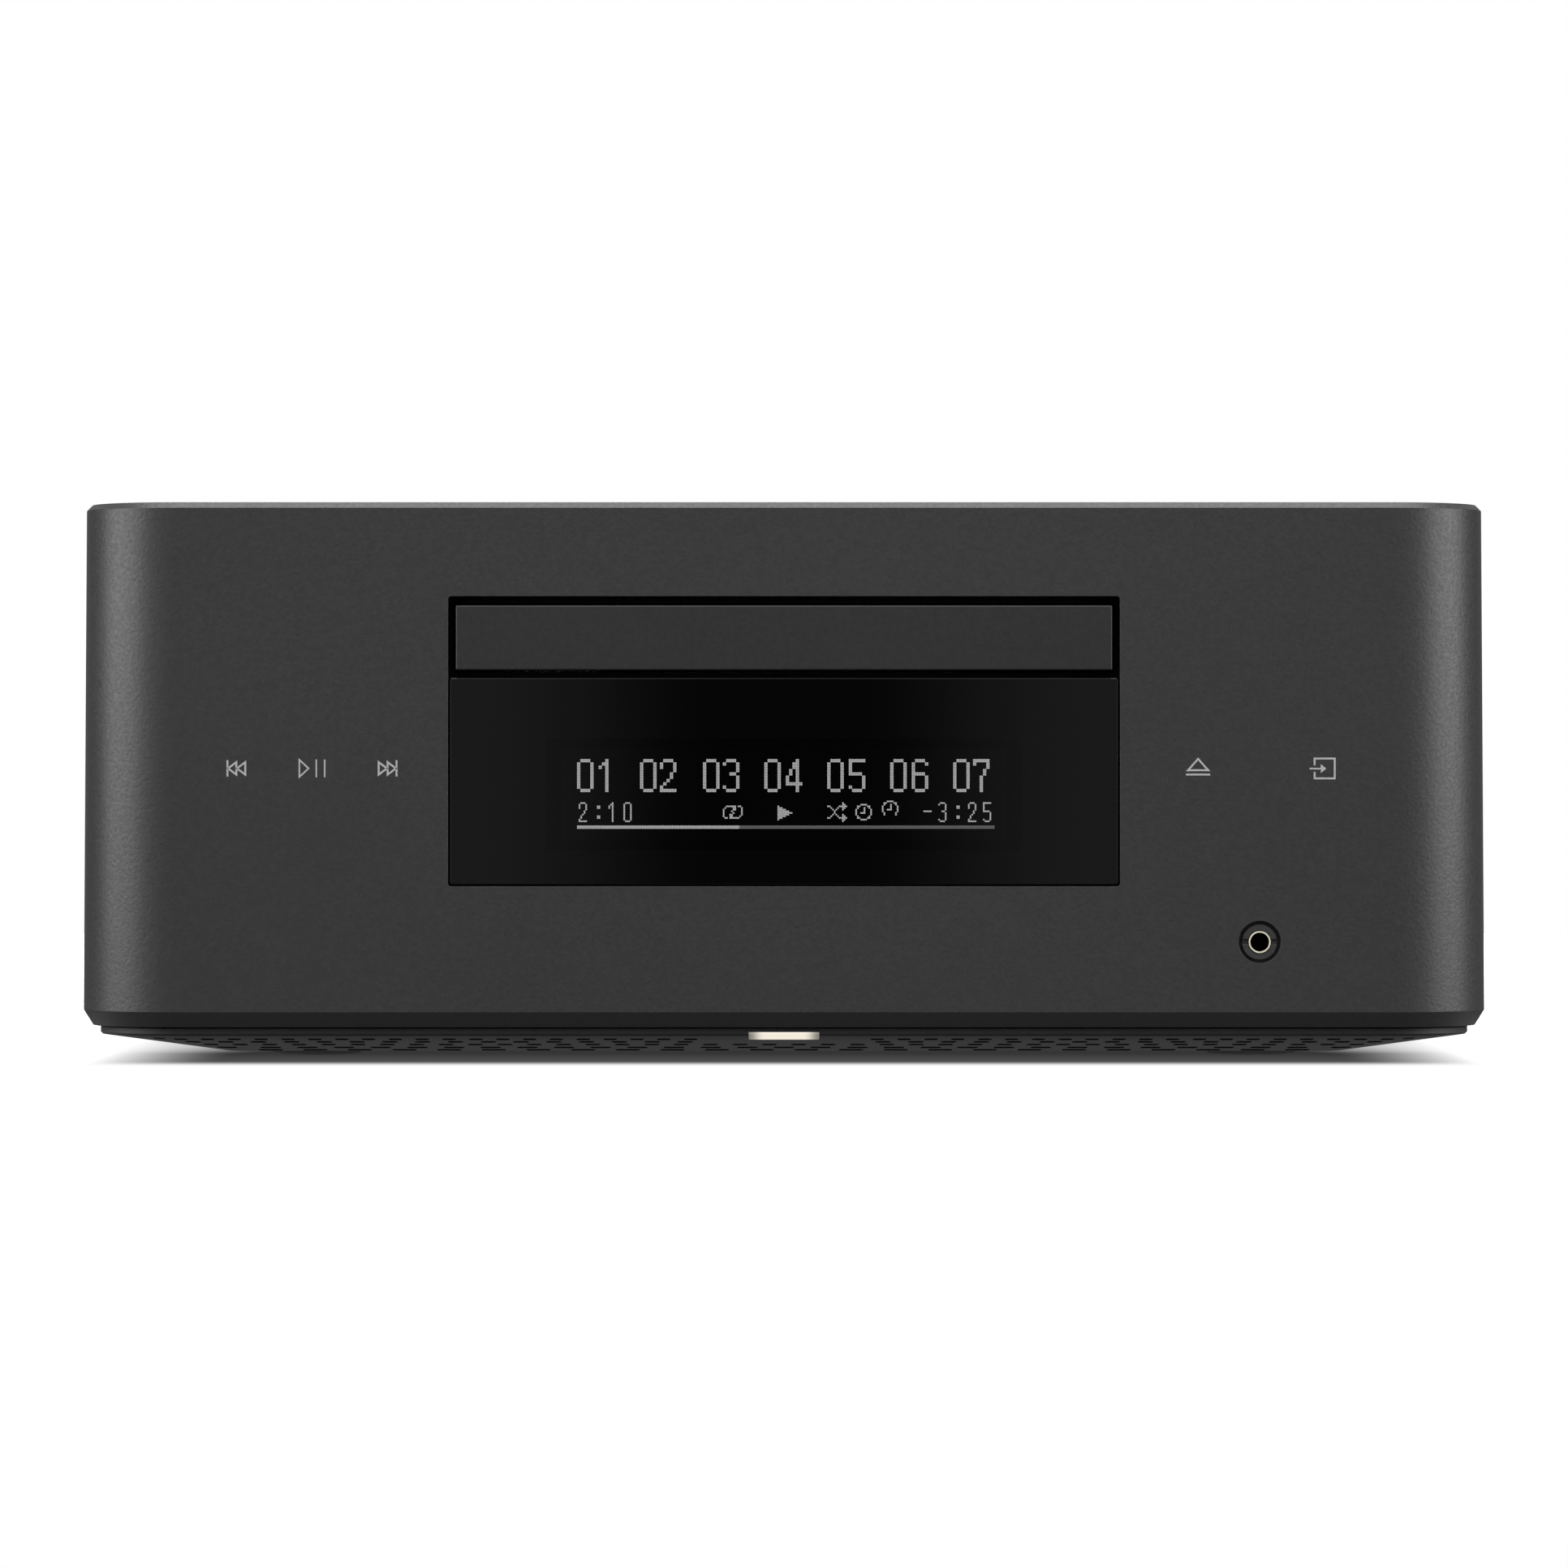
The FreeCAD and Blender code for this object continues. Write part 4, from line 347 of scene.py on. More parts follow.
# Headphone jack: a near-white ring in its black body, partly the contact's own pale metal, partly a painted
# highlight; painted shade in black round the outside of its nut. The pitch of a lone ring is past the case
jack = {"spot": [((a + b) / 2) / mm for a, b in zip(*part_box("headphone_nut"))],
        "contact": (1.87, 2.16), "rim": (3.42, 6), "alone": 1000}
jackBush = finish("mouldedJackBody", "#0b0b0b", "#121212", 6, 0.4, 0.004, 0.5, 0.05)
# Painted highlight: the contact ring is coloured near white, with little metal in it
secondFinish(jackBush, "#fbf4dc", 0.22, 0.1, ring=("Y", jack["spot"], *jack["contact"], jack["alone"]))
blackNut = finish("blackPlatedNut", "#474747", "#4f4f4f", 3, 0.3, 0.004, 0.4, 0.06, Metallic=0.4)
# Painted shade: the nut's outer ring is coloured black, where its recess lies in shade
secondFinish(blackNut, "#020202", 0.6, ring=("Y", jack["spot"], *jack["rim"], jack["alone"]))
# Sockets on the back: gold and nickel shells beyond a black moulding, with coloured insulators; dark ports
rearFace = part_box("rear_panel")[1].y / mm
rear = {"moulding": rearFace + 2.1, "phonoRows": 32, "phonoRing": ("Y", (14, 140, 24.5), 1.95, 3.35, 15),
        "radioRing": ("Y", (58.5, 140, 25.5), 1.3, 3.6, jack["alone"]), "networkRim": rearFace + 0.15,
        "usbTongue": [("X", 93, 104), ("Y", None, rearFace - 1), ("Z", 21.4, 23.3)], "usbFloor": rearFace - 6,
        "inletPlace": [("X", -107, -93), ("Y", None, rearFace + 0.4), ("Z", 28, 32)],
        "inletPins": ("Y", (-104.3, 130, 30), 0, 1.25, 8.6)}
shell = ("Y", rear["moulding"], None)
phonoGold = finish("goldFlashedPhono", *gold, Metallic=1.0)
secondFinish(phonoGold, "#0f0f10", 0.45, limits=[("Y", None, rear["moulding"])])
secondFinish(phonoGold, "#dcd9cf", 0.4, limits=[shell, ("Z", rear["phonoRows"], None)], ring=rear["phonoRing"])
secondFinish(phonoGold, "#a51b1b", 0.4, limits=[shell, ("Z", None, rear["phonoRows"])], ring=rear["phonoRing"])
radioNickel = finish("nickelPlatedBrass", "#bdb9ad", "#cfcbc0", 4, 0.3, 0.0005, 0.25, 0.04, Metallic=1.0)
secondFinish(radioNickel, "#dcd9cf", 0.4, limits=[shell], ring=rear["radioRing"])
tinned = ("#b9bab8", "#cfd0ce", 6, 1.5, 0.0005, 0.32, 0.04)
networkShield = finish("tinnedNetworkShield", *tinned, Metallic=1.0)
secondFinish(networkShield, "#0d0d0e", 0.5, limits=[("Y", None, rear["networkRim"])])
usbShield = finish("tinnedUsbShield", *tinned, Metallic=1.0)
secondFinish(usbShield, "#111112", 0.45, limits=rear["usbTongue"])
secondFinish(usbShield, "#2c2c2d", 0.6, limits=[("Y", None, rear["usbFloor"])])
inletAbs = finish("mouldedInletAbs", "#0c0c0c", "#111111", 20, 0.4, 0.01, 0.5, 0.06)
secondFinish(inletAbs, "#cfceca", 0.25, 1.0, limits=rear["inletPlace"], ring=rear["inletPins"])
print("finishes made")

# Smoked acrylic: a black print behind it leaves only the display's place clear, where the lit dots show through
smoke = {"print": "#030303", "clear": "#5c5c5c", "inset": 1, "haze": 4, "hazeGloss": 0.03}
smoked, smokedTree, smokedShader, smokedWhere = startMaterial("smokedAcrylic", {"Roughness": 0.0, "IOR": 1.49})
displayLow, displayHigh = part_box("display_module")
displayMiddle = (displayLow + displayHigh) / 2
displayHalf = (displayHigh - displayLow) / 2 - Vector((1, 1, 1)) * smoke["inset"] * mm
offMiddle = addNode(smokedTree, "ShaderNodeVectorMath", {0: (smokedWhere, "Object"), 1: displayMiddle},
                    operation="SUBTRACT")
offSide = addNode(smokedTree, "ShaderNodeVectorMath", {0: (offMiddle, 0)}, operation="ABSOLUTE")
offParts = addNode(smokedTree, "ShaderNodeSeparateXYZ", {0: (offSide, 0)})
clearAcross = addNode(smokedTree, "ShaderNodeMath", {0: (offParts, 0), 1: displayHalf.x}, operation="LESS_THAN")
clearUp = addNode(smokedTree, "ShaderNodeMath", {0: (offParts, 2), 1: displayHalf.z}, operation="LESS_THAN")
clearPlace = addNode(smokedTree, "ShaderNodeMath", {0: (clearAcross, 0), 1: (clearUp, 0)}, operation="MULTIPLY")
smokeTint = addNode(smokedTree, "ShaderNodeMix",
                    {0: (clearPlace, 0), 6: linear(smoke["print"]), 7: linear(smoke["clear"])}, data_type="RGBA")
haze = addNode(smokedTree, "ShaderNodeTexNoise",
               {"Vector": (smokedWhere, "Object"), "Scale": 1 / (smoke["haze"] * mm)})
hazeGloss = addNode(smokedTree, "ShaderNodeMapRange",
                    {"Value": (haze, "Fac"), "To Min": 0.0, "To Max": smoke["hazeGloss"]})
smokedTree.links.new(clearPlace.outputs[0], smokedShader.inputs["Transmission Weight"])
smokedTree.links.new(smokeTint.outputs[2], smokedShader.inputs["Base Color"])
smokedTree.links.new(hazeGloss.outputs[0], smokedShader.inputs["Roughness"])

# Display glass: near black, hardly uneven, as fine as its dots
displayGlass = finish("displayGlass", "#010101", "#020202", 4, 0.33, 0.0, 0.5, 0.02,
                      **{"Specular IOR Level": 0.05})

# Frosted light pipe, lit from behind: cream white in the middle, greyer at its ends, dark above its lit height
pipe = {"fadeFrom": 0.55, "middle": 0.8, "end": 0.13, "litHeight": 1.75, "dark": "#0c0c0c", "body": "#b8b6b0",
        "light": "#fff6e4"}
barLow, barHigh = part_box("light_bar")
lightPipe, pipeTree, pipeShader, pipeWhere = startMaterial("frostedLightPipe", {"Roughness": 0.4})
pipeParts = addNode(pipeTree, "ShaderNodeSeparateXYZ", {0: (pipeWhere, "Object")})
pipeAway = addNode(pipeTree, "ShaderNodeMath", {0: (pipeParts, 0)}, operation="ABSOLUTE")
pipeFade = addNode(pipeTree, "ShaderNodeMapRange",
                   {"Value": (pipeAway, 0), "From Min": barHigh.x * pipe["fadeFrom"], "From Max": barHigh.x,
                    "To Min": pipe["middle"], "To Max": pipe["end"]}, interpolation_type="SMOOTHSTEP")
pipeLit = addNode(pipeTree, "ShaderNodeMath", {0: (pipeParts, 2), 1: barLow.z + pipe["litHeight"] * mm},
                  operation="LESS_THAN")
pipeGlow = addNode(pipeTree, "ShaderNodeMath", {0: (pipeFade, 0), 1: (pipeLit, 0)}, operation="MULTIPLY")
pipeTint = addNode(pipeTree, "ShaderNodeMix",
                   {0: (pipeLit, 0), 6: linear(pipe["dark"]), 7: linear(pipe["body"])}, data_type="RGBA")
pipeTree.links.new(pipeTint.outputs[2], pipeShader.inputs["Base Color"])
pipeTree.links.new(pipeGlow.outputs[0], pipeShader.inputs["Emission Strength"])
pipeShader.inputs["Emission Color"].default_value = linear(pipe["light"])

finishes = {
    satinPaint: ["front_panel", "case_cover"],
    trayPaint: ["tray_cover"],
    blackAcrylic: ["top_plate"],
    smoked: ["display_window"],
    displayGlass: ["display_module"],
    lightPipe: ["light_bar"],
    powderCoat: ["rear_panel"],
    grainedAbs: ["base_pan"],
    bayBlackAndShade: ["bay_frame"],
    mattAbs: ["loader_frame", "terminal_block", "optical_socket"],
    inletAbs: ["power_inlet"],
    trayPlastic: ["tray"],
    rubberWithPaintedLight: ["feet"],
    damperRubber: ["loader_dampers"],
    beltRubber: ["drive_belt"],
    zincSheet: ["chassis_plate", "clamp_bridge", "mech_bracket", "traverse_plate"],
    platedScrew: ["case_screws"],
    drawnCan: ["loading_motor", "spindle_motor", "sled_motor"],
    groundSteel: ["guide_rods"],
    networkShield: ["network_socket"],
    usbShield: ["usb_socket"],
    dieCast: ["pickup_sled"],
    extrusion: ["amp_heatsink"],
    goldFlash: ["terminal_posts"],
    phonoGold: ["phono_sockets"],
    radioNickel: ["fm_socket"],
    acetal: ["motor_pulley", "pulley_gear", "tray_gear", "lift_slider", "sled_screw", "turntable"],
    puckAbs: ["clamp_puck"],
    capRed: ["terminal_cap_1", "terminal_cap_4"],
    capBlack: ["terminal_cap_2", "terminal_cap_3"],
    blackNut: ["headphone_nut"],
    jackBush: ["headphone_socket"],
    flatCable: ["ribbon_cable"],
    aerialAbs: ["aerial_knuckle_left", "aerial_knuckle_right", "aerial_rod_left", "aerial_rod_right"],
    lensCoat: ["pickup_lens"],
    greenBoard: ["main_board"],
    frontBoards: ["front_board", "touch_boards"],
    radioBoard: ["network_module"],
    tanBoard: ["power_board"],
    woundCore: ["transformer"],
    canSleeve: ["capacitors"],
}
for material, names in finishes.items():
    for node in names:
        nodes[node].data.materials.clear()
        nodes[node].data.materials.append(material)
dressed = sum(finishes.values(), [])
print("finishes on nodes:", len(dressed), "missing:", sorted(set(nodes) - set(dressed)))

skins = {"merge": 0.003, "flatWithin": 0.2, "sharpFrom": 22, "segments": 2}


# A node's own shape with its facets merged and its edges broken, as a mould or a press leaves them
def softenEdges(node, edge):
    source = nodes[node]
    piece = source.copy()
    piece.data = source.data.copy()
    bpy.context.scene.collection.objects.link(piece)
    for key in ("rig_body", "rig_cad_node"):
        del piece[key]
    piece.parent = None
    only(piece)
    bpy.ops.mesh.customdata_custom_splitnormals_clear()
    inEdit(piece)
    bpy.ops.mesh.remove_doubles(threshold=skins["merge"] * mm)
    bpy.ops.mesh.dissolve_limited(angle_limit=math.radians(skins["flatWithin"]))
    bpy.ops.object.mode_set(mode="OBJECT")
    sharp = math.radians(skins["sharpFrom"])
    applyModifier(piece, "BEVEL", width=edge * mm, segments=skins["segments"], limit_method="ANGLE",
                  angle_limit=sharp, use_clamp_overlap=True)
    bpy.ops.object.shade_smooth_by_angle(angle=sharp)
    applyModifier(piece, "WEIGHTED_NORMAL", keep_sharp=True)
    settle(piece, node + "_finished", source.data.materials[0], bodyOf[node])
    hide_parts(node)


# Flat outline given by its corners as x and z, whole or as a stroke along its edge
def flatOutline(corners, stroke=None):
    bpy.ops.mesh.primitive_circle_add(vertices=len(corners), radius=1 * mm, fill_type="NGON")
    piece = bpy.context.object
    for vertex, (x, z) in zip(piece.data.vertices, corners):
        vertex.co = (x * mm, 0, z * mm)
    if stroke:
        inEdit(piece)
        bpy.ops.mesh.inset(thickness=stroke * mm, use_even_offset=True)
        bpy.ops.mesh.delete(type="FACE")
        bpy.ops.object.mode_set(mode="OBJECT")
    return piece


def bar(x0, x1, z0, z1, stroke=None):
    return flatOutline([(x0, z0), (x1, z0), (x1, z1), (x0, z1)], stroke)


# Printed touch marks: grey ink, its thickness just proud of the paint
touchInk = finish("screenPrintInk", "#b4b4b4", "#c0c0c0", 2, 0.25, 0.002, 0.5, 0.05)
inkThick = 0.04
middle = 58.15
skip = {"half": 1.6, "stroke": 0.37, "step": 1.76, "bar": 0.36,
        "places": {"mark_previous": (-110.25, 1), "mark_next": (-76.45, -1)}}
play = {"x": -96.0, "half": 2.05, "reach": 2.2, "stroke": 0.31}
pause = {"x": (-92.5, -90.85), "half": 1.77, "stroke": 0.29}
eject = {"x": 81.9, "half": 2.4, "top": 60.3, "base": 57.6, "bar": (56.75, 57.1), "stroke": 0.37}
inputMark = {"x": (104.75, 109.1), "z": (55.98, 60.28), "gap": (57.45, 58.75), "stroke": 0.37}
arrow = {"x": (103.95, 106.15, 107.25), "half": 0.88, "stroke": 0.33}


def printOn(parts, name, face):
    piece = join(parts)
    applyModifier(piece, "SOLIDIFY", thickness=inkThick * mm, offset=0)
    faceOutward(piece)
    piece.location.y = face
    settle(piece, name, touchInk)


def skipMark(name, x, side):
    half, step = skip["half"], skip["step"]
    parts = [bar(*sorted((x, x + side * skip["bar"])), middle - half, middle + half)]
    for apex in (x, x + side * step):
        base = apex + side * (step + skip["stroke"])
        parts.append(flatOutline([(apex, middle), (base, middle - half), (base, middle + half)], skip["stroke"]))
    printOn(parts, name, cadLow.y)


for name, (x, side) in skip["places"].items():
    skipMark(name, x, side)

playParts = [flatOutline([(play["x"], middle - play["half"]), (play["x"] + play["reach"], middle),
                          (play["x"], middle + play["half"])], play["stroke"])]
for x in pause["x"]:
    half = pause["stroke"] / 2
    playParts.append(bar(x - half, x + half, middle - pause["half"], middle + pause["half"]))
printOn(playParts, "mark_play_pause", cadLow.y)

left, right = eject["x"] - eject["half"], eject["x"] + eject["half"]
wedge = flatOutline([(left, eject["base"]), (right, eject["base"]), (eject["x"], eject["top"])], eject["stroke"])
printOn([wedge, bar(left, right, *eject["bar"])], "mark_eject", cadLow.y)

# The input mark: a square, open on its left side where an arrow enters
left, right = inputMark["x"]
square = bar(left, right, *inputMark["z"], inputMark["stroke"])
gapLow, gapHigh = inputMark["gap"]
for level in (gapLow, gapHigh):
    inEdit(square)
    bpy.ops.mesh.bisect(plane_co=(0, 0, level * mm), plane_no=(0, 0, 1))
    bpy.ops.object.mode_set(mode="OBJECT")
dropFaces(square, lambda face: (face.center.x < (left + inputMark["stroke"]) * mm
                                and gapLow * mm < face.center.z < gapHigh * mm))
tail, neck, tip = arrow["x"]
level, half = (gapLow + gapHigh) / 2, arrow["stroke"] / 2
shaft = bar(tail, neck, level - half, level + half)
head = flatOutline([(neck, level - arrow["half"]), (tip, level), (neck, level + arrow["half"])])
printOn([square, shaft, head], "mark_input", cadLow.y)
print("touch marks made")

# Dot display: one lit dot, copied to each lit place of digits, symbols and the progress bar
display = {"dots": 252, "pitch": 0.3286, "fill": 0.86, "thick": 0.08, "left": -41.05, "top": 60.02,
           "timeTop": 51.45, "barTop": 46.83, "playedDots": 98, "barDots": 2,
           "body": "#202020", "light": "#f2f2f4", "strength": (4.1, 5.2), "uneven": 0.5}
digitRows = {
    "0": ".###. #...# #...# #...# #...# #...# #...# #...# #...# .###.",
    "1": "..#.. .##.. #.#.. ..#.. ..#.. ..#.. ..#.. ..#.. ..#.. ..#..",
    "2": ".###. #...# #...# ....# ...#. ...#. ..#.. .#... #.... #####",
    "3": ".###. #...# ....# ....# ..##. ....# ....# ....# #...# .###.",
    "4": "...#. ..##. ..##. .#.#. .#.#. #..#. #..#. ##### ...#. ...#.",
    "5": "##### #.... #.... #.... ####. ....# ....# ....# #...# .###.",
    "6": ".###. #...# #.... #.... ####. #...# #...# #...# #...# .###.",
    "7": "##### #...# ....# ...#. ...#. ..#.. ..#.. ..#.. ..#.. ..#..",
    ":": "..... ..... ..##. ..... ..... ..... ..... ..##. ..... .....",
    "-": "..... ..... ..... ..... ##### ..... ..... ..... ..... .....",
}
# Texts as: figures, first column, columns to the next figure, dots to a side, two rows taller or not, top
texts = {
    "display_track_numbers": ("01 02 03 04 05 06 07", 0, 12.6, 2, False, display["top"]),
    "display_played_time": ("2:10", 1, 9, 1, True, display["timeTop"]),
    "display_left_time": ("-3:25", 209, 9, 1, True, display["timeTop"]),
}
# Symbols as: first column, first row, pattern
symbols = {
    "repeat": (88, 2, "..######.##. .#....##...# #.....##...# #....#.....# "
                      "#.....#....# #...##.....# #...##....#. .##.######.."),
    "play": (121, 2, "#........ ###...... #####.... #######.. ######### "
                     "#######.. #####.... ###...... #........"),
    "shuffle": (151, 0, ".........#.. .........##. ##.....##### ..#...#..##. ...#.#...#.. ....#....... "
                        "....#....... ...#.#...#.. ..#...#..##. ##.....##### .........##. .........#.."),
    "timer": (168, 1, "...####... .##....##. .#...#..#. #....#...# #....#...# "
                      "#..###...# #........# .#......#. .##....##. ...####..."),
    "halfTimer": (184, -1, "...####... .##....##. .#...#..#. #....#...# #....#...# "
                           "#..###...# #........# .#......#. .#......#."),
}
dots = {}
for name, share in (("litDots", 1.0), ("dimDots", 0.3)):
    dots[name], tree, shader, where = startMaterial(name, {"Base Color": linear(display["body"]),
                                                           "Roughness": 0.6})
    uneven = addNode(tree, "ShaderNodeTexNoise",
                     {"Vector": (where, "Object"), "Scale": 1 / (display["uneven"] * mm)})
    low, high = display["strength"]
    strength = addNode(tree, "ShaderNodeMapRange",
                       {"Value": (uneven, "Fac"), "To Min": low * share, "To Max": high * share})
    tree.links.new(strength.outputs[0], shader.inputs["Emission Strength"])
    shader.inputs["Emission Color"].default_value = linear(display["light"])


def litPiece(name, places, material, top):
    pitch = display["pitch"] * mm
    bpy.ops.mesh.primitive_cube_add(size=1)
    dot = bpy.context.object
    dot.scale = (pitch * display["fill"], display["thick"] * mm, pitch * display["fill"])
    bpy.ops.object.transform_apply(scale=True)
    dropFaces(dot, lambda face: face.normal.y > 0.9)
    left, depth = display["left"] * mm, displayLow.y - display["thick"] * mm / 2
    spots = [(left + (column + 0.5) * pitch, depth, top * mm - (row + 0.5) * pitch) for column, row in places]
    settle(repeatAt(dot, spots), name, material)


def patternPlaces(rows, start, drop, size=1):
    return [(start + column * size + i, drop + row * size + j)
            for row, line in enumerate(rows) for column, lit in enumerate(line) if lit == "#"
            for i in range(size) for j in range(size)]


def textPlaces(text, start, advance, size, tall):
    places = []
    for order, letter in enumerate(text):
        rows = digitRows.get(letter, "").split()
        if rows and tall:
            rows = rows[:3] + rows[2:3] + rows[3:8] + rows[7:8] + rows[8:]
        places += patternPlaces(rows, start + round(order * advance), 0, size)
    return places


for name, (*text, top) in texts.items():
    litPiece(name, textPlaces(*text), dots["litDots"], top)
symbolPlaces = [place for start, drop, pattern in symbols.values()
                for place in patternPlaces(pattern.split(), start, drop)]
litPiece("display_symbols", symbolPlaces, dots["litDots"], display["timeTop"])
barSpans = {"display_bar_played": (0, display["playedDots"], "litDots"),
            "display_bar_left": (display["playedDots"], display["dots"], "dimDots")}
for name, (start, end, shine) in barSpans.items():
    litPiece(name, [(column, row) for column in range(start, end) for row in range(display["barDots"])],
             dots[shine], display["barTop"])
print("display made")

edges = {"front_panel": 0.15, "case_cover": 0.15, "tray_cover": 0.15, "top_plate": 0.25, "display_window": 0.04,
         "bay_frame": 0.1, "rear_panel": 0.1, "headphone_nut": 0.06, "tray": 0.12, "feet": 0.15,
         "terminal_block": 0.25, "terminal_cap_1": 0.2, "terminal_cap_2": 0.2, "terminal_cap_3": 0.2,
         "terminal_cap_4": 0.2, "power_inlet": 0.15, "optical_socket": 0.15, "phono_sockets": 0.12,
         "fm_socket": 0.12, "aerial_knuckle_left": 0.3, "aerial_knuckle_right": 0.3, "aerial_rod_left": 0.4,
         "aerial_rod_right": 0.4, "clamp_puck": 0.15, "turntable": 0.1}
for node, edge in edges.items():
    softenEdges(node, edge)
print("outer skins dressed")

# Rear screws: one pan head with a cross recess, copied to each place and turned there, each by another angle
rearScrews = {"sides": 28, "radius": 2.7, "height": 1.3, "edge": 0.45, "slot": (2.9, 0.62, 0.7), "turn": 17,
              "smooth": 30, "places": [(-118, 102), (0, 103.5), (118, 102), (-118, 14), (4, 13.5), (118, 14)]}
height = rearScrews["height"]
bpy.ops.mesh.primitive_cylinder_add(vertices=rearScrews["sides"], radius=rearScrews["radius"] * mm,
                                    depth=height * mm)
screw = bpy.context.object
inEdit(screw, lambda face: face.normal.z > 0.9)
bpy.ops.mesh.bevel(offset=rearScrews["edge"] * mm, segments=3, affect="EDGES")
bpy.ops.object.mode_set(mode="OBJECT")
slotLong, slotWide, slotDeep = rearScrews["slot"]
recesses = []
for long, wide in ((slotLong, slotWide), (slotWide, slotLong)):
    bpy.ops.mesh.primitive_cube_add(size=1, location=(0, 0, height / 2 * mm))
    recesses.append(bpy.context.object)
    recesses[-1].scale = (long * mm, wide * mm, slotDeep * 2 * mm)
for recess in recesses:
    applyModifier(screw, "BOOLEAN", object=recess, operation="DIFFERENCE", solver="EXACT")
    bpy.data.objects.remove(recess)
screwSpots = [(x * mm, (rearFace + height / 2) * mm, z * mm) for x, z in rearScrews["places"]]
screwTurns = [(math.radians(-90), math.radians(rearScrews["turn"] * x), 0) for x, z in rearScrews["places"]]
screws = repeatAt(screw, screwSpots, screwTurns)
bpy.ops.object.shade_smooth_by_angle(angle=math.radians(rearScrews["smooth"]))
settle(screws, "rear_screws", platedScrew, "case")

# Network contacts: eight sprung strips from the port's roof down to its back, each a bent profile given a width
contacts = {"middle": 80.0, "pitch": 1.02, "count": 8, "wide": 0.45,
            "profile": [(136, 28.45), (136, 28.7), (130, 26.85), (125.5, 26.45), (125.5, 26.2), (130, 26.6)]}
contact = flatOutline(contacts["profile"])
applyModifier(contact, "SOLIDIFY", thickness=contacts["wide"] * mm, offset=0)
contact.rotation_euler.z = math.radians(90)
bpy.ops.object.transform_apply(rotation=True)
centreStep = (contacts["count"] - 1) / 2
strips = repeatAt(contact, [((contacts["middle"] + (step - centreStep) * contacts["pitch"]) * mm, 0, 0)
                            for step in range(contacts["count"])])
faceOutward(strips)
settle(strips, "network_contacts", goldFlash, "case")

# Rear print: a thin frame round the phono sockets, with plain numerals over their columns
rearPrint = {"frame": (6.3, 51.7, 16.9, 46.9), "stroke": 0.3,
             "numerals": {"1": 14, "2": 29, "3": 44}, "level": 49.6, "size": 4.2}
rearParts = [bar(*rearPrint["frame"], rearPrint["stroke"])]
for figure, x in rearPrint["numerals"].items():
    bpy.ops.object.text_add()
    numeral = bpy.context.object
    numeral.data.body = figure
    numeral.data.size = rearPrint["size"] * mm
    numeral.data.align_x = numeral.data.align_y = "CENTER"
    bpy.ops.object.convert(target="MESH")
    numeral = bpy.context.object
    numeral.rotation_euler = (math.radians(90), 0, math.radians(180))
    numeral.location = (x * mm, 0, rearPrint["level"] * mm)
    bpy.ops.object.transform_apply(location=True, rotation=True, scale=True)
    rearParts.append(numeral)
printOn(rearParts, "rear_print", rearFace * mm)

# Pole signs over the terminal posts: plus for True
poles = {"signs": {-62: True, -44: False, -26: False, -8: True}, "level": 40.6, "half": 1.2, "stroke": 0.4}
half, line, level = poles["half"], poles["stroke"] / 2, poles["level"]
signParts = []
for x, plus in poles["signs"].items():
    signParts.append(bar(x - half, x + half, level - line, level + line))
    if plus:
        signParts += [bar(x - line, x + line, level + line, level + half),
                      bar(x - line, x + line, level - half, level - line)]
printOn(signParts, "pole_signs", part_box("terminal_block")[1].y)
print("rear details made")

# Lamps as name: turn to the side and rise in degrees, distance, size, and how bright they look
lamps = {"softboxKey": (0, 52, 1.9, (2.2, 0.9), 2.42),
         "softboxTop": (0, 86, 1.6, (1.6, 0.9), 4.4),
         "softboxBack": (180, 42, 1.9, (1.6, 0.8), 3.2),
         "stripLeft": (-70, 15, 1.6, (1.25, 1.0), 4.85),
         "stripRight": (70.5, 15, 1.6, (1.2, 1.0), 4.85),
         "fillLeft": (-40, 18, 1.6, (0.5, 0.9), 0.75),
         "fillRight": (40, 18, 1.6, (0.5, 0.9), 0.35)}
studio = {"aim": (0, 0, 0.055), "world": 0.24, "centre": 0.03, "flanks": 0.03, "centreEdge": (0.01, 0.046),
          "flankEdge": (0.4, 0.7), "straight": 0.985}


def softbox(name, size, place, power):
    lamp = bpy.data.lights.new(name, "AREA")
    lamp.shape = "RECTANGLE"
    lamp.size, lamp.size_y = size
    lamp.energy = power
    lampObject = bpy.data.objects.new(name, lamp)
    lampObject.location = place
    lampObject.rotation_euler = (Vector(studio["aim"]) - Vector(place)).to_track_quat("-Z", "Y").to_euler()
    bpy.context.scene.collection.objects.link(lampObject)


for name, (turn, rise, distance, size, radiance) in lamps.items():
    turn, rise = math.radians(turn), math.radians(rise)
    place = Vector((math.sin(turn) * math.cos(rise), -math.cos(turn) * math.cos(rise), math.sin(rise))) * distance
    softbox(name, size, place, radiance * size[0] * size[1] * math.pi)

# The studio's far end, behind the camera, is dark in the middle, as the window mirrors it; its flanks are dim
world = bpy.data.worlds.new("paleStudio")
world.use_nodes = True
bpy.context.scene.world = world
worldTree = world.node_tree
worldTree.nodes.clear()
lightPath = addNode(worldTree, "ShaderNodeLightPath")
direction = addNode(worldTree, "ShaderNodeTexCoord")
way = addNode(worldTree, "ShaderNodeSeparateXYZ", {0: (direction, "Generated")})
aside = addNode(worldTree, "ShaderNodeMath", {0: (way, 0)}, operation="ABSOLUTE")
behind = addNode(worldTree, "ShaderNodeMath", {0: (way, 1), 1: 0.0}, operation="GREATER_THAN")
across = addNode(worldTree, "ShaderNodeMath", {0: (aside, 0), 1: (behind, 0)}, operation="MAXIMUM")
low, high = studio["centreEdge"]
farEnd = addNode(worldTree, "ShaderNodeMapRange",
                 {"Value": (across, 0), "From Min": low, "From Max": high, "To Min": studio["centre"],
                  "To Max": studio["world"]}, interpolation_type="SMOOTHSTEP")
low, high = studio["flankEdge"]
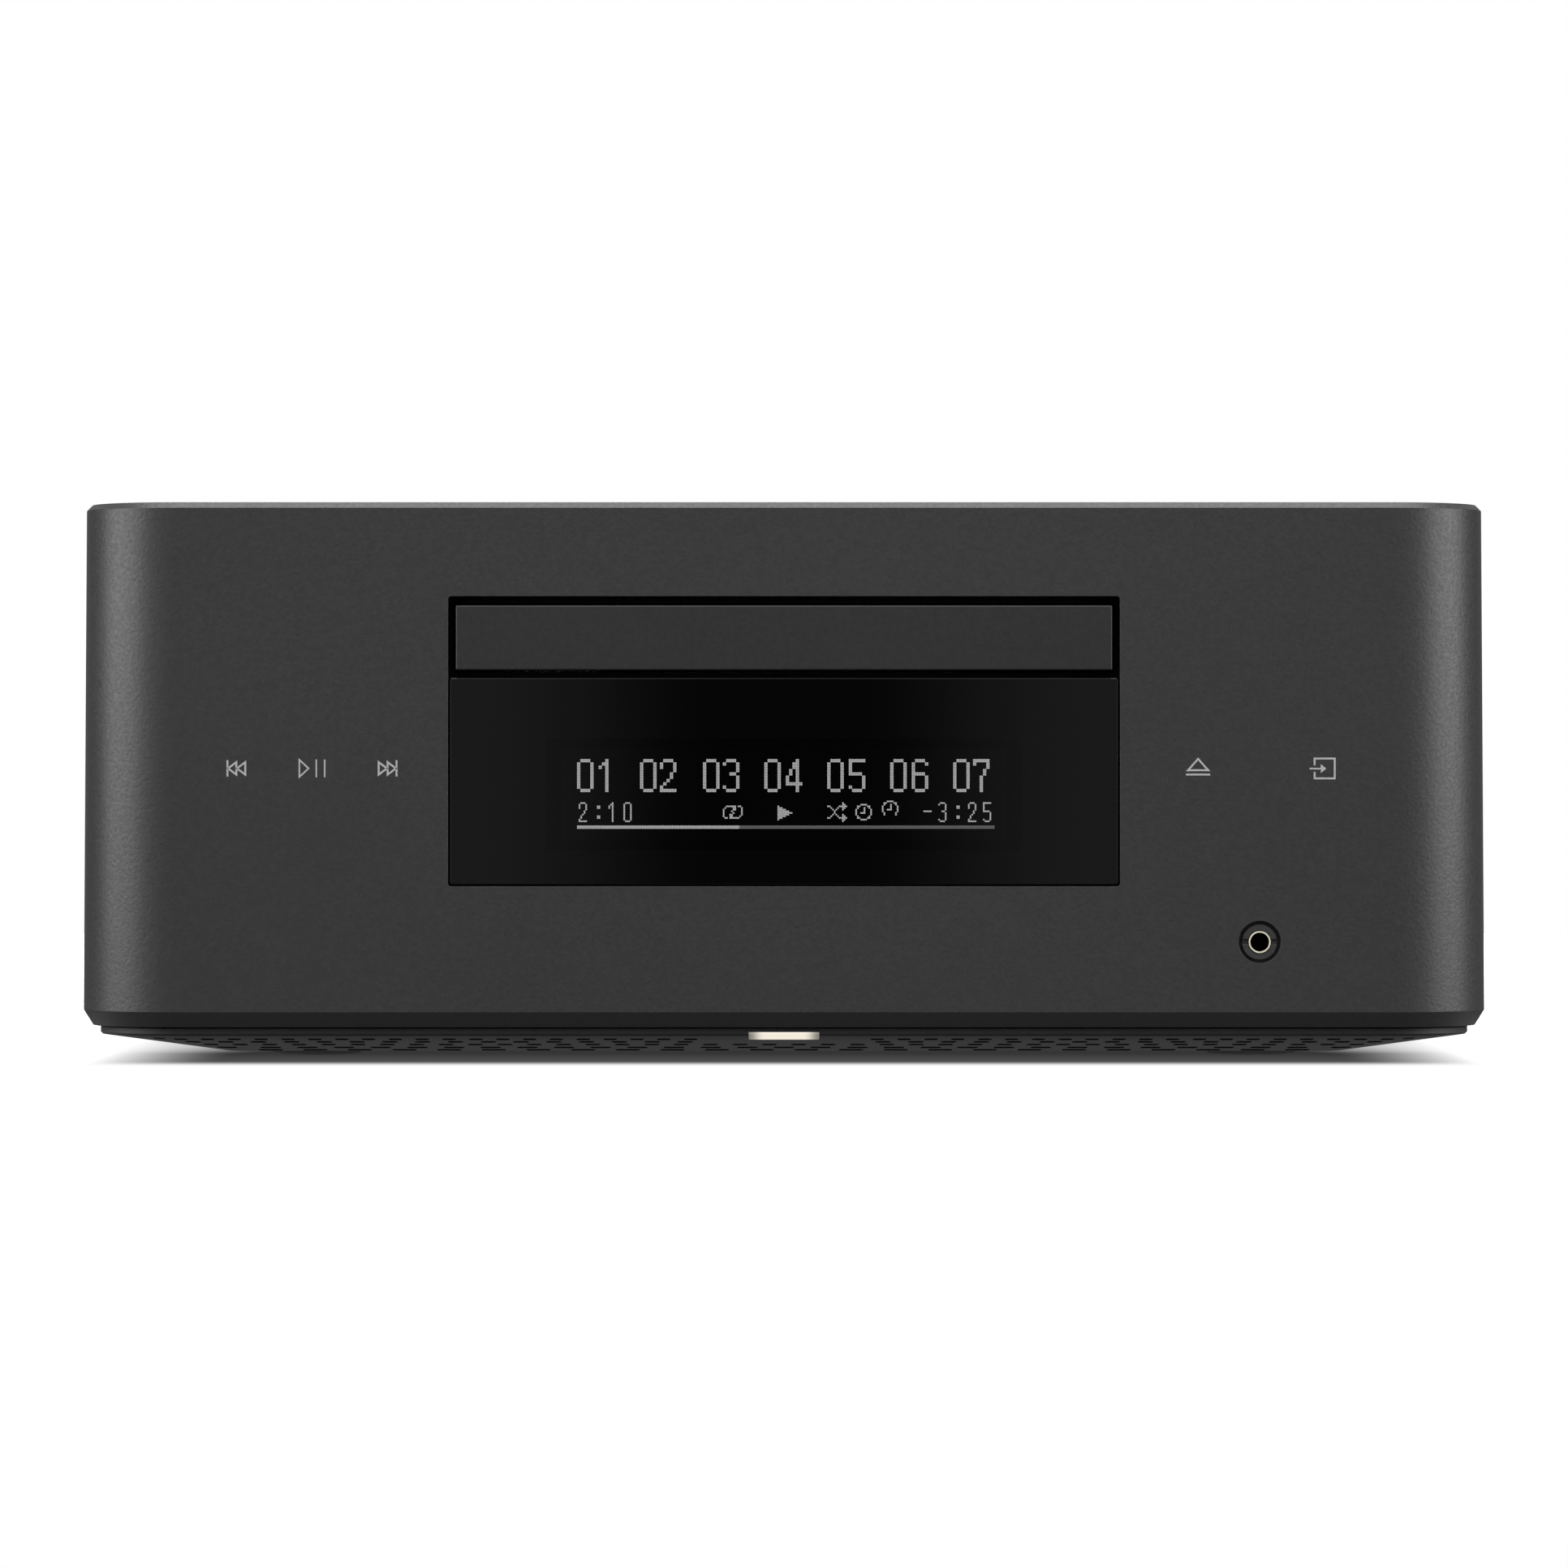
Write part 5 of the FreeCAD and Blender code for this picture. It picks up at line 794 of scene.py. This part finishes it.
dimming = addNode(worldTree, "ShaderNodeMapRange",
                  {"Value": (aside, 0), "From Min": low, "From Max": high, "To Min": 0.0,
                   "To Max": studio["world"] - studio["flanks"]})
dimmed = addNode(worldTree, "ShaderNodeMath", {0: (farEnd, 0), 1: (dimming, 0)}, operation="SUBTRACT",
                 use_clamp=True)
soft = addNode(worldTree, "ShaderNodeBackground", {"Color": (1, 1, 1, 1), "Strength": (dimmed, 0)})
white = addNode(worldTree, "ShaderNodeBackground", {"Color": (1, 1, 1, 1), "Strength": 1.0})
# The white backdrop is straight behind the object: seen, looked at through glass, and mirrored there
straight = addNode(worldTree, "ShaderNodeMath", {0: (way, 1), 1: studio["straight"]}, operation="GREATER_THAN")
bounced = addNode(worldTree, "ShaderNodeMath",
                  {0: (lightPath, "Is Glossy Ray"), 1: (lightPath, "Is Transmission Ray")}, operation="MAXIMUM")
mirrored = addNode(worldTree, "ShaderNodeMath", {0: (bounced, 0), 1: (straight, 0)}, operation="MULTIPLY")
backdrop = addNode(worldTree, "ShaderNodeMath", {0: (lightPath, "Is Camera Ray"), 1: (mirrored, 0)},
                   operation="MAXIMUM")
seen = addNode(worldTree, "ShaderNodeMixShader", {0: (backdrop, 0), 1: (soft, 0), 2: (white, 0)})
addNode(worldTree, "ShaderNodeOutputWorld", {"Surface": (seen, 0)})

# Pale floor. The camera sees it white, with the lamps' shadow round the object and a drawn shade under it. Other
# rays find it dim, with a little glow under the object that ends before its front. Fades along Y, or out from the
# middle along X, as: axis, where they start and end in metres, level there, level there, kind
ground = {"size": 2.0, "seen": 1.25, "bounce": 0.07, "sideEdge": 0.137}
groundFades = {
    "frontShade": ("Y", -0.1713, -0.1453, 0.0, 1.0, "SMOOTHSTEP"),
    "backShade": ("Y", 0.16, 0.125, 0.0, 1.0, "SMOOTHSTEP"),
    "sideWidth": ("Y", -0.108, -0.07, 0.026, 0.05, "LINEAR"),
    "underSide": ("X", 0.156, 0.146, 0.0, 1.0, "LINEAR"),
    "underFront": ("Y", -0.177, -0.1714, 0.0, 1.0, "LINEAR"),
    "underBack": ("Y", 0.141, 0.135, 0.0, 1.0, "LINEAR"),
    "darkest": ("Y", -0.14, -0.107, 0.072, 0.036, "LINEAR"),
    "glow": ("Y", -0.15, -0.135, 0.0, 0.24, "LINEAR"),
}
bpy.ops.mesh.primitive_plane_add(size=ground["size"], location=(0, 0, 0))
floor = bpy.context.object
floor.name = "floor"
floorMaterial = bpy.data.materials.new("paleFloor")
floorMaterial.use_nodes = True
floorTree = floorMaterial.node_tree
floorTree.nodes.clear()
floorPath = addNode(floorTree, "ShaderNodeLightPath")
floorWhere = addNode(floorTree, "ShaderNodeTexCoord")
floorPlace = addNode(floorTree, "ShaderNodeSeparateXYZ", {0: (floorWhere, "Object")})
floorAcross = addNode(floorTree, "ShaderNodeMath", {0: (floorPlace, 0)}, operation="ABSOLUTE")
along = {"X": (floorAcross, 0), "Y": (floorPlace, 1)}
fades = {}
for name, (axis, start, end, before, after, kind) in groundFades.items():
    fades[name] = addNode(floorTree, "ShaderNodeMapRange",
                          {"Value": along[axis], "From Min": start, "From Max": end,
                           "To Min": before, "To Max": after}, interpolation_type=kind)
# Towards the sides the shade thins out as a square
inward = addNode(floorTree, "ShaderNodeMath", {0: ground["sideEdge"], 1: along["X"]}, operation="SUBTRACT")
inShare = addNode(floorTree, "ShaderNodeMath", {0: (inward, 0), 1: (fades["sideWidth"], 0)}, operation="DIVIDE",
                  use_clamp=True)
outShare = addNode(floorTree, "ShaderNodeMath", {0: 1.0, 1: (inShare, 0)}, operation="SUBTRACT")
outSquare = addNode(floorTree, "ShaderNodeMath", {0: (outShare, 0), 1: 2.0}, operation="POWER")
fades["sideShade"] = addNode(floorTree, "ShaderNodeMath", {0: 1.0, 1: (outSquare, 0)}, operation="SUBTRACT")
for name, first, second in (("endShade", "frontShade", "backShade"), ("shade", "endShade", "sideShade"),
                            ("underEdge", "underSide", "underFront"), ("under", "underEdge", "underBack"),
                            ("glowUnder", "glow", "under")):
    fades[name] = addNode(floorTree, "ShaderNodeMath", {0: (fades[first], 0), 1: (fades[second], 0)},
                          operation="MULTIPLY")
shade, under, glowUnder = fades["shade"], fades["under"], fades["glowUnder"]
unshaded = addNode(floorTree, "ShaderNodeMath", {0: 1.0, 1: (shade, 0)}, operation="SUBTRACT")
outside = addNode(floorTree, "ShaderNodeMath", {0: 1.0, 1: (under, 0)}, operation="SUBTRACT")
# Inside the footprint the shade is drawn, outside it the lamps light the floor and cast their shadows
drawn = addNode(floorTree, "ShaderNodeMix", {0: (shade, 0), 2: 1.0, 3: (fades["darkest"], 0)}, data_type="FLOAT")
drawnUnder = addNode(floorTree, "ShaderNodeMath", {0: (drawn, 0), 1: (under, 0)}, operation="MULTIPLY")
litOutside = addNode(floorTree, "ShaderNodeMath", {0: (unshaded, 0), 1: (outside, 0)}, operation="MULTIPLY")
seenLevel = addNode(floorTree, "ShaderNodeMath", {0: (litOutside, 0), 1: ground["seen"]}, operation="MULTIPLY")
floorLevel = addNode(floorTree, "ShaderNodeMix", {0: (floorPath, "Is Camera Ray"), 2: ground["bounce"],
                                                  3: (seenLevel, 0)}, data_type="FLOAT")
floorOwn = addNode(floorTree, "ShaderNodeMix", {0: (floorPath, "Is Camera Ray"), 2: (glowUnder, 0),
                                                3: (drawnUnder, 0)}, data_type="FLOAT")
floorMatt = addNode(floorTree, "ShaderNodeBsdfDiffuse", {"Color": (floorLevel, 0)})
floorGlow = addNode(floorTree, "ShaderNodeEmission", {"Strength": (floorOwn, 0)})
floorTop = addNode(floorTree, "ShaderNodeAddShader", {0: (floorMatt, 0), 1: (floorGlow, 0)})
# From below the floor is open, so that the underside can be looked at
floorSide = addNode(floorTree, "ShaderNodeNewGeometry")
floorOpen = addNode(floorTree, "ShaderNodeBsdfTransparent")
floorMix = addNode(floorTree, "ShaderNodeMixShader", {0: (floorSide, "Backfacing"), 1: (floorTop, 0),
                                                      2: (floorOpen, 0)})
addNode(floorTree, "ShaderNodeOutputMaterial", {"Surface": (floorMix, 0)})
floor.data.materials.append(floorMaterial)
floor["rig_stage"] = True
floor.select_set(False)
print("studio set")

low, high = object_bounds()
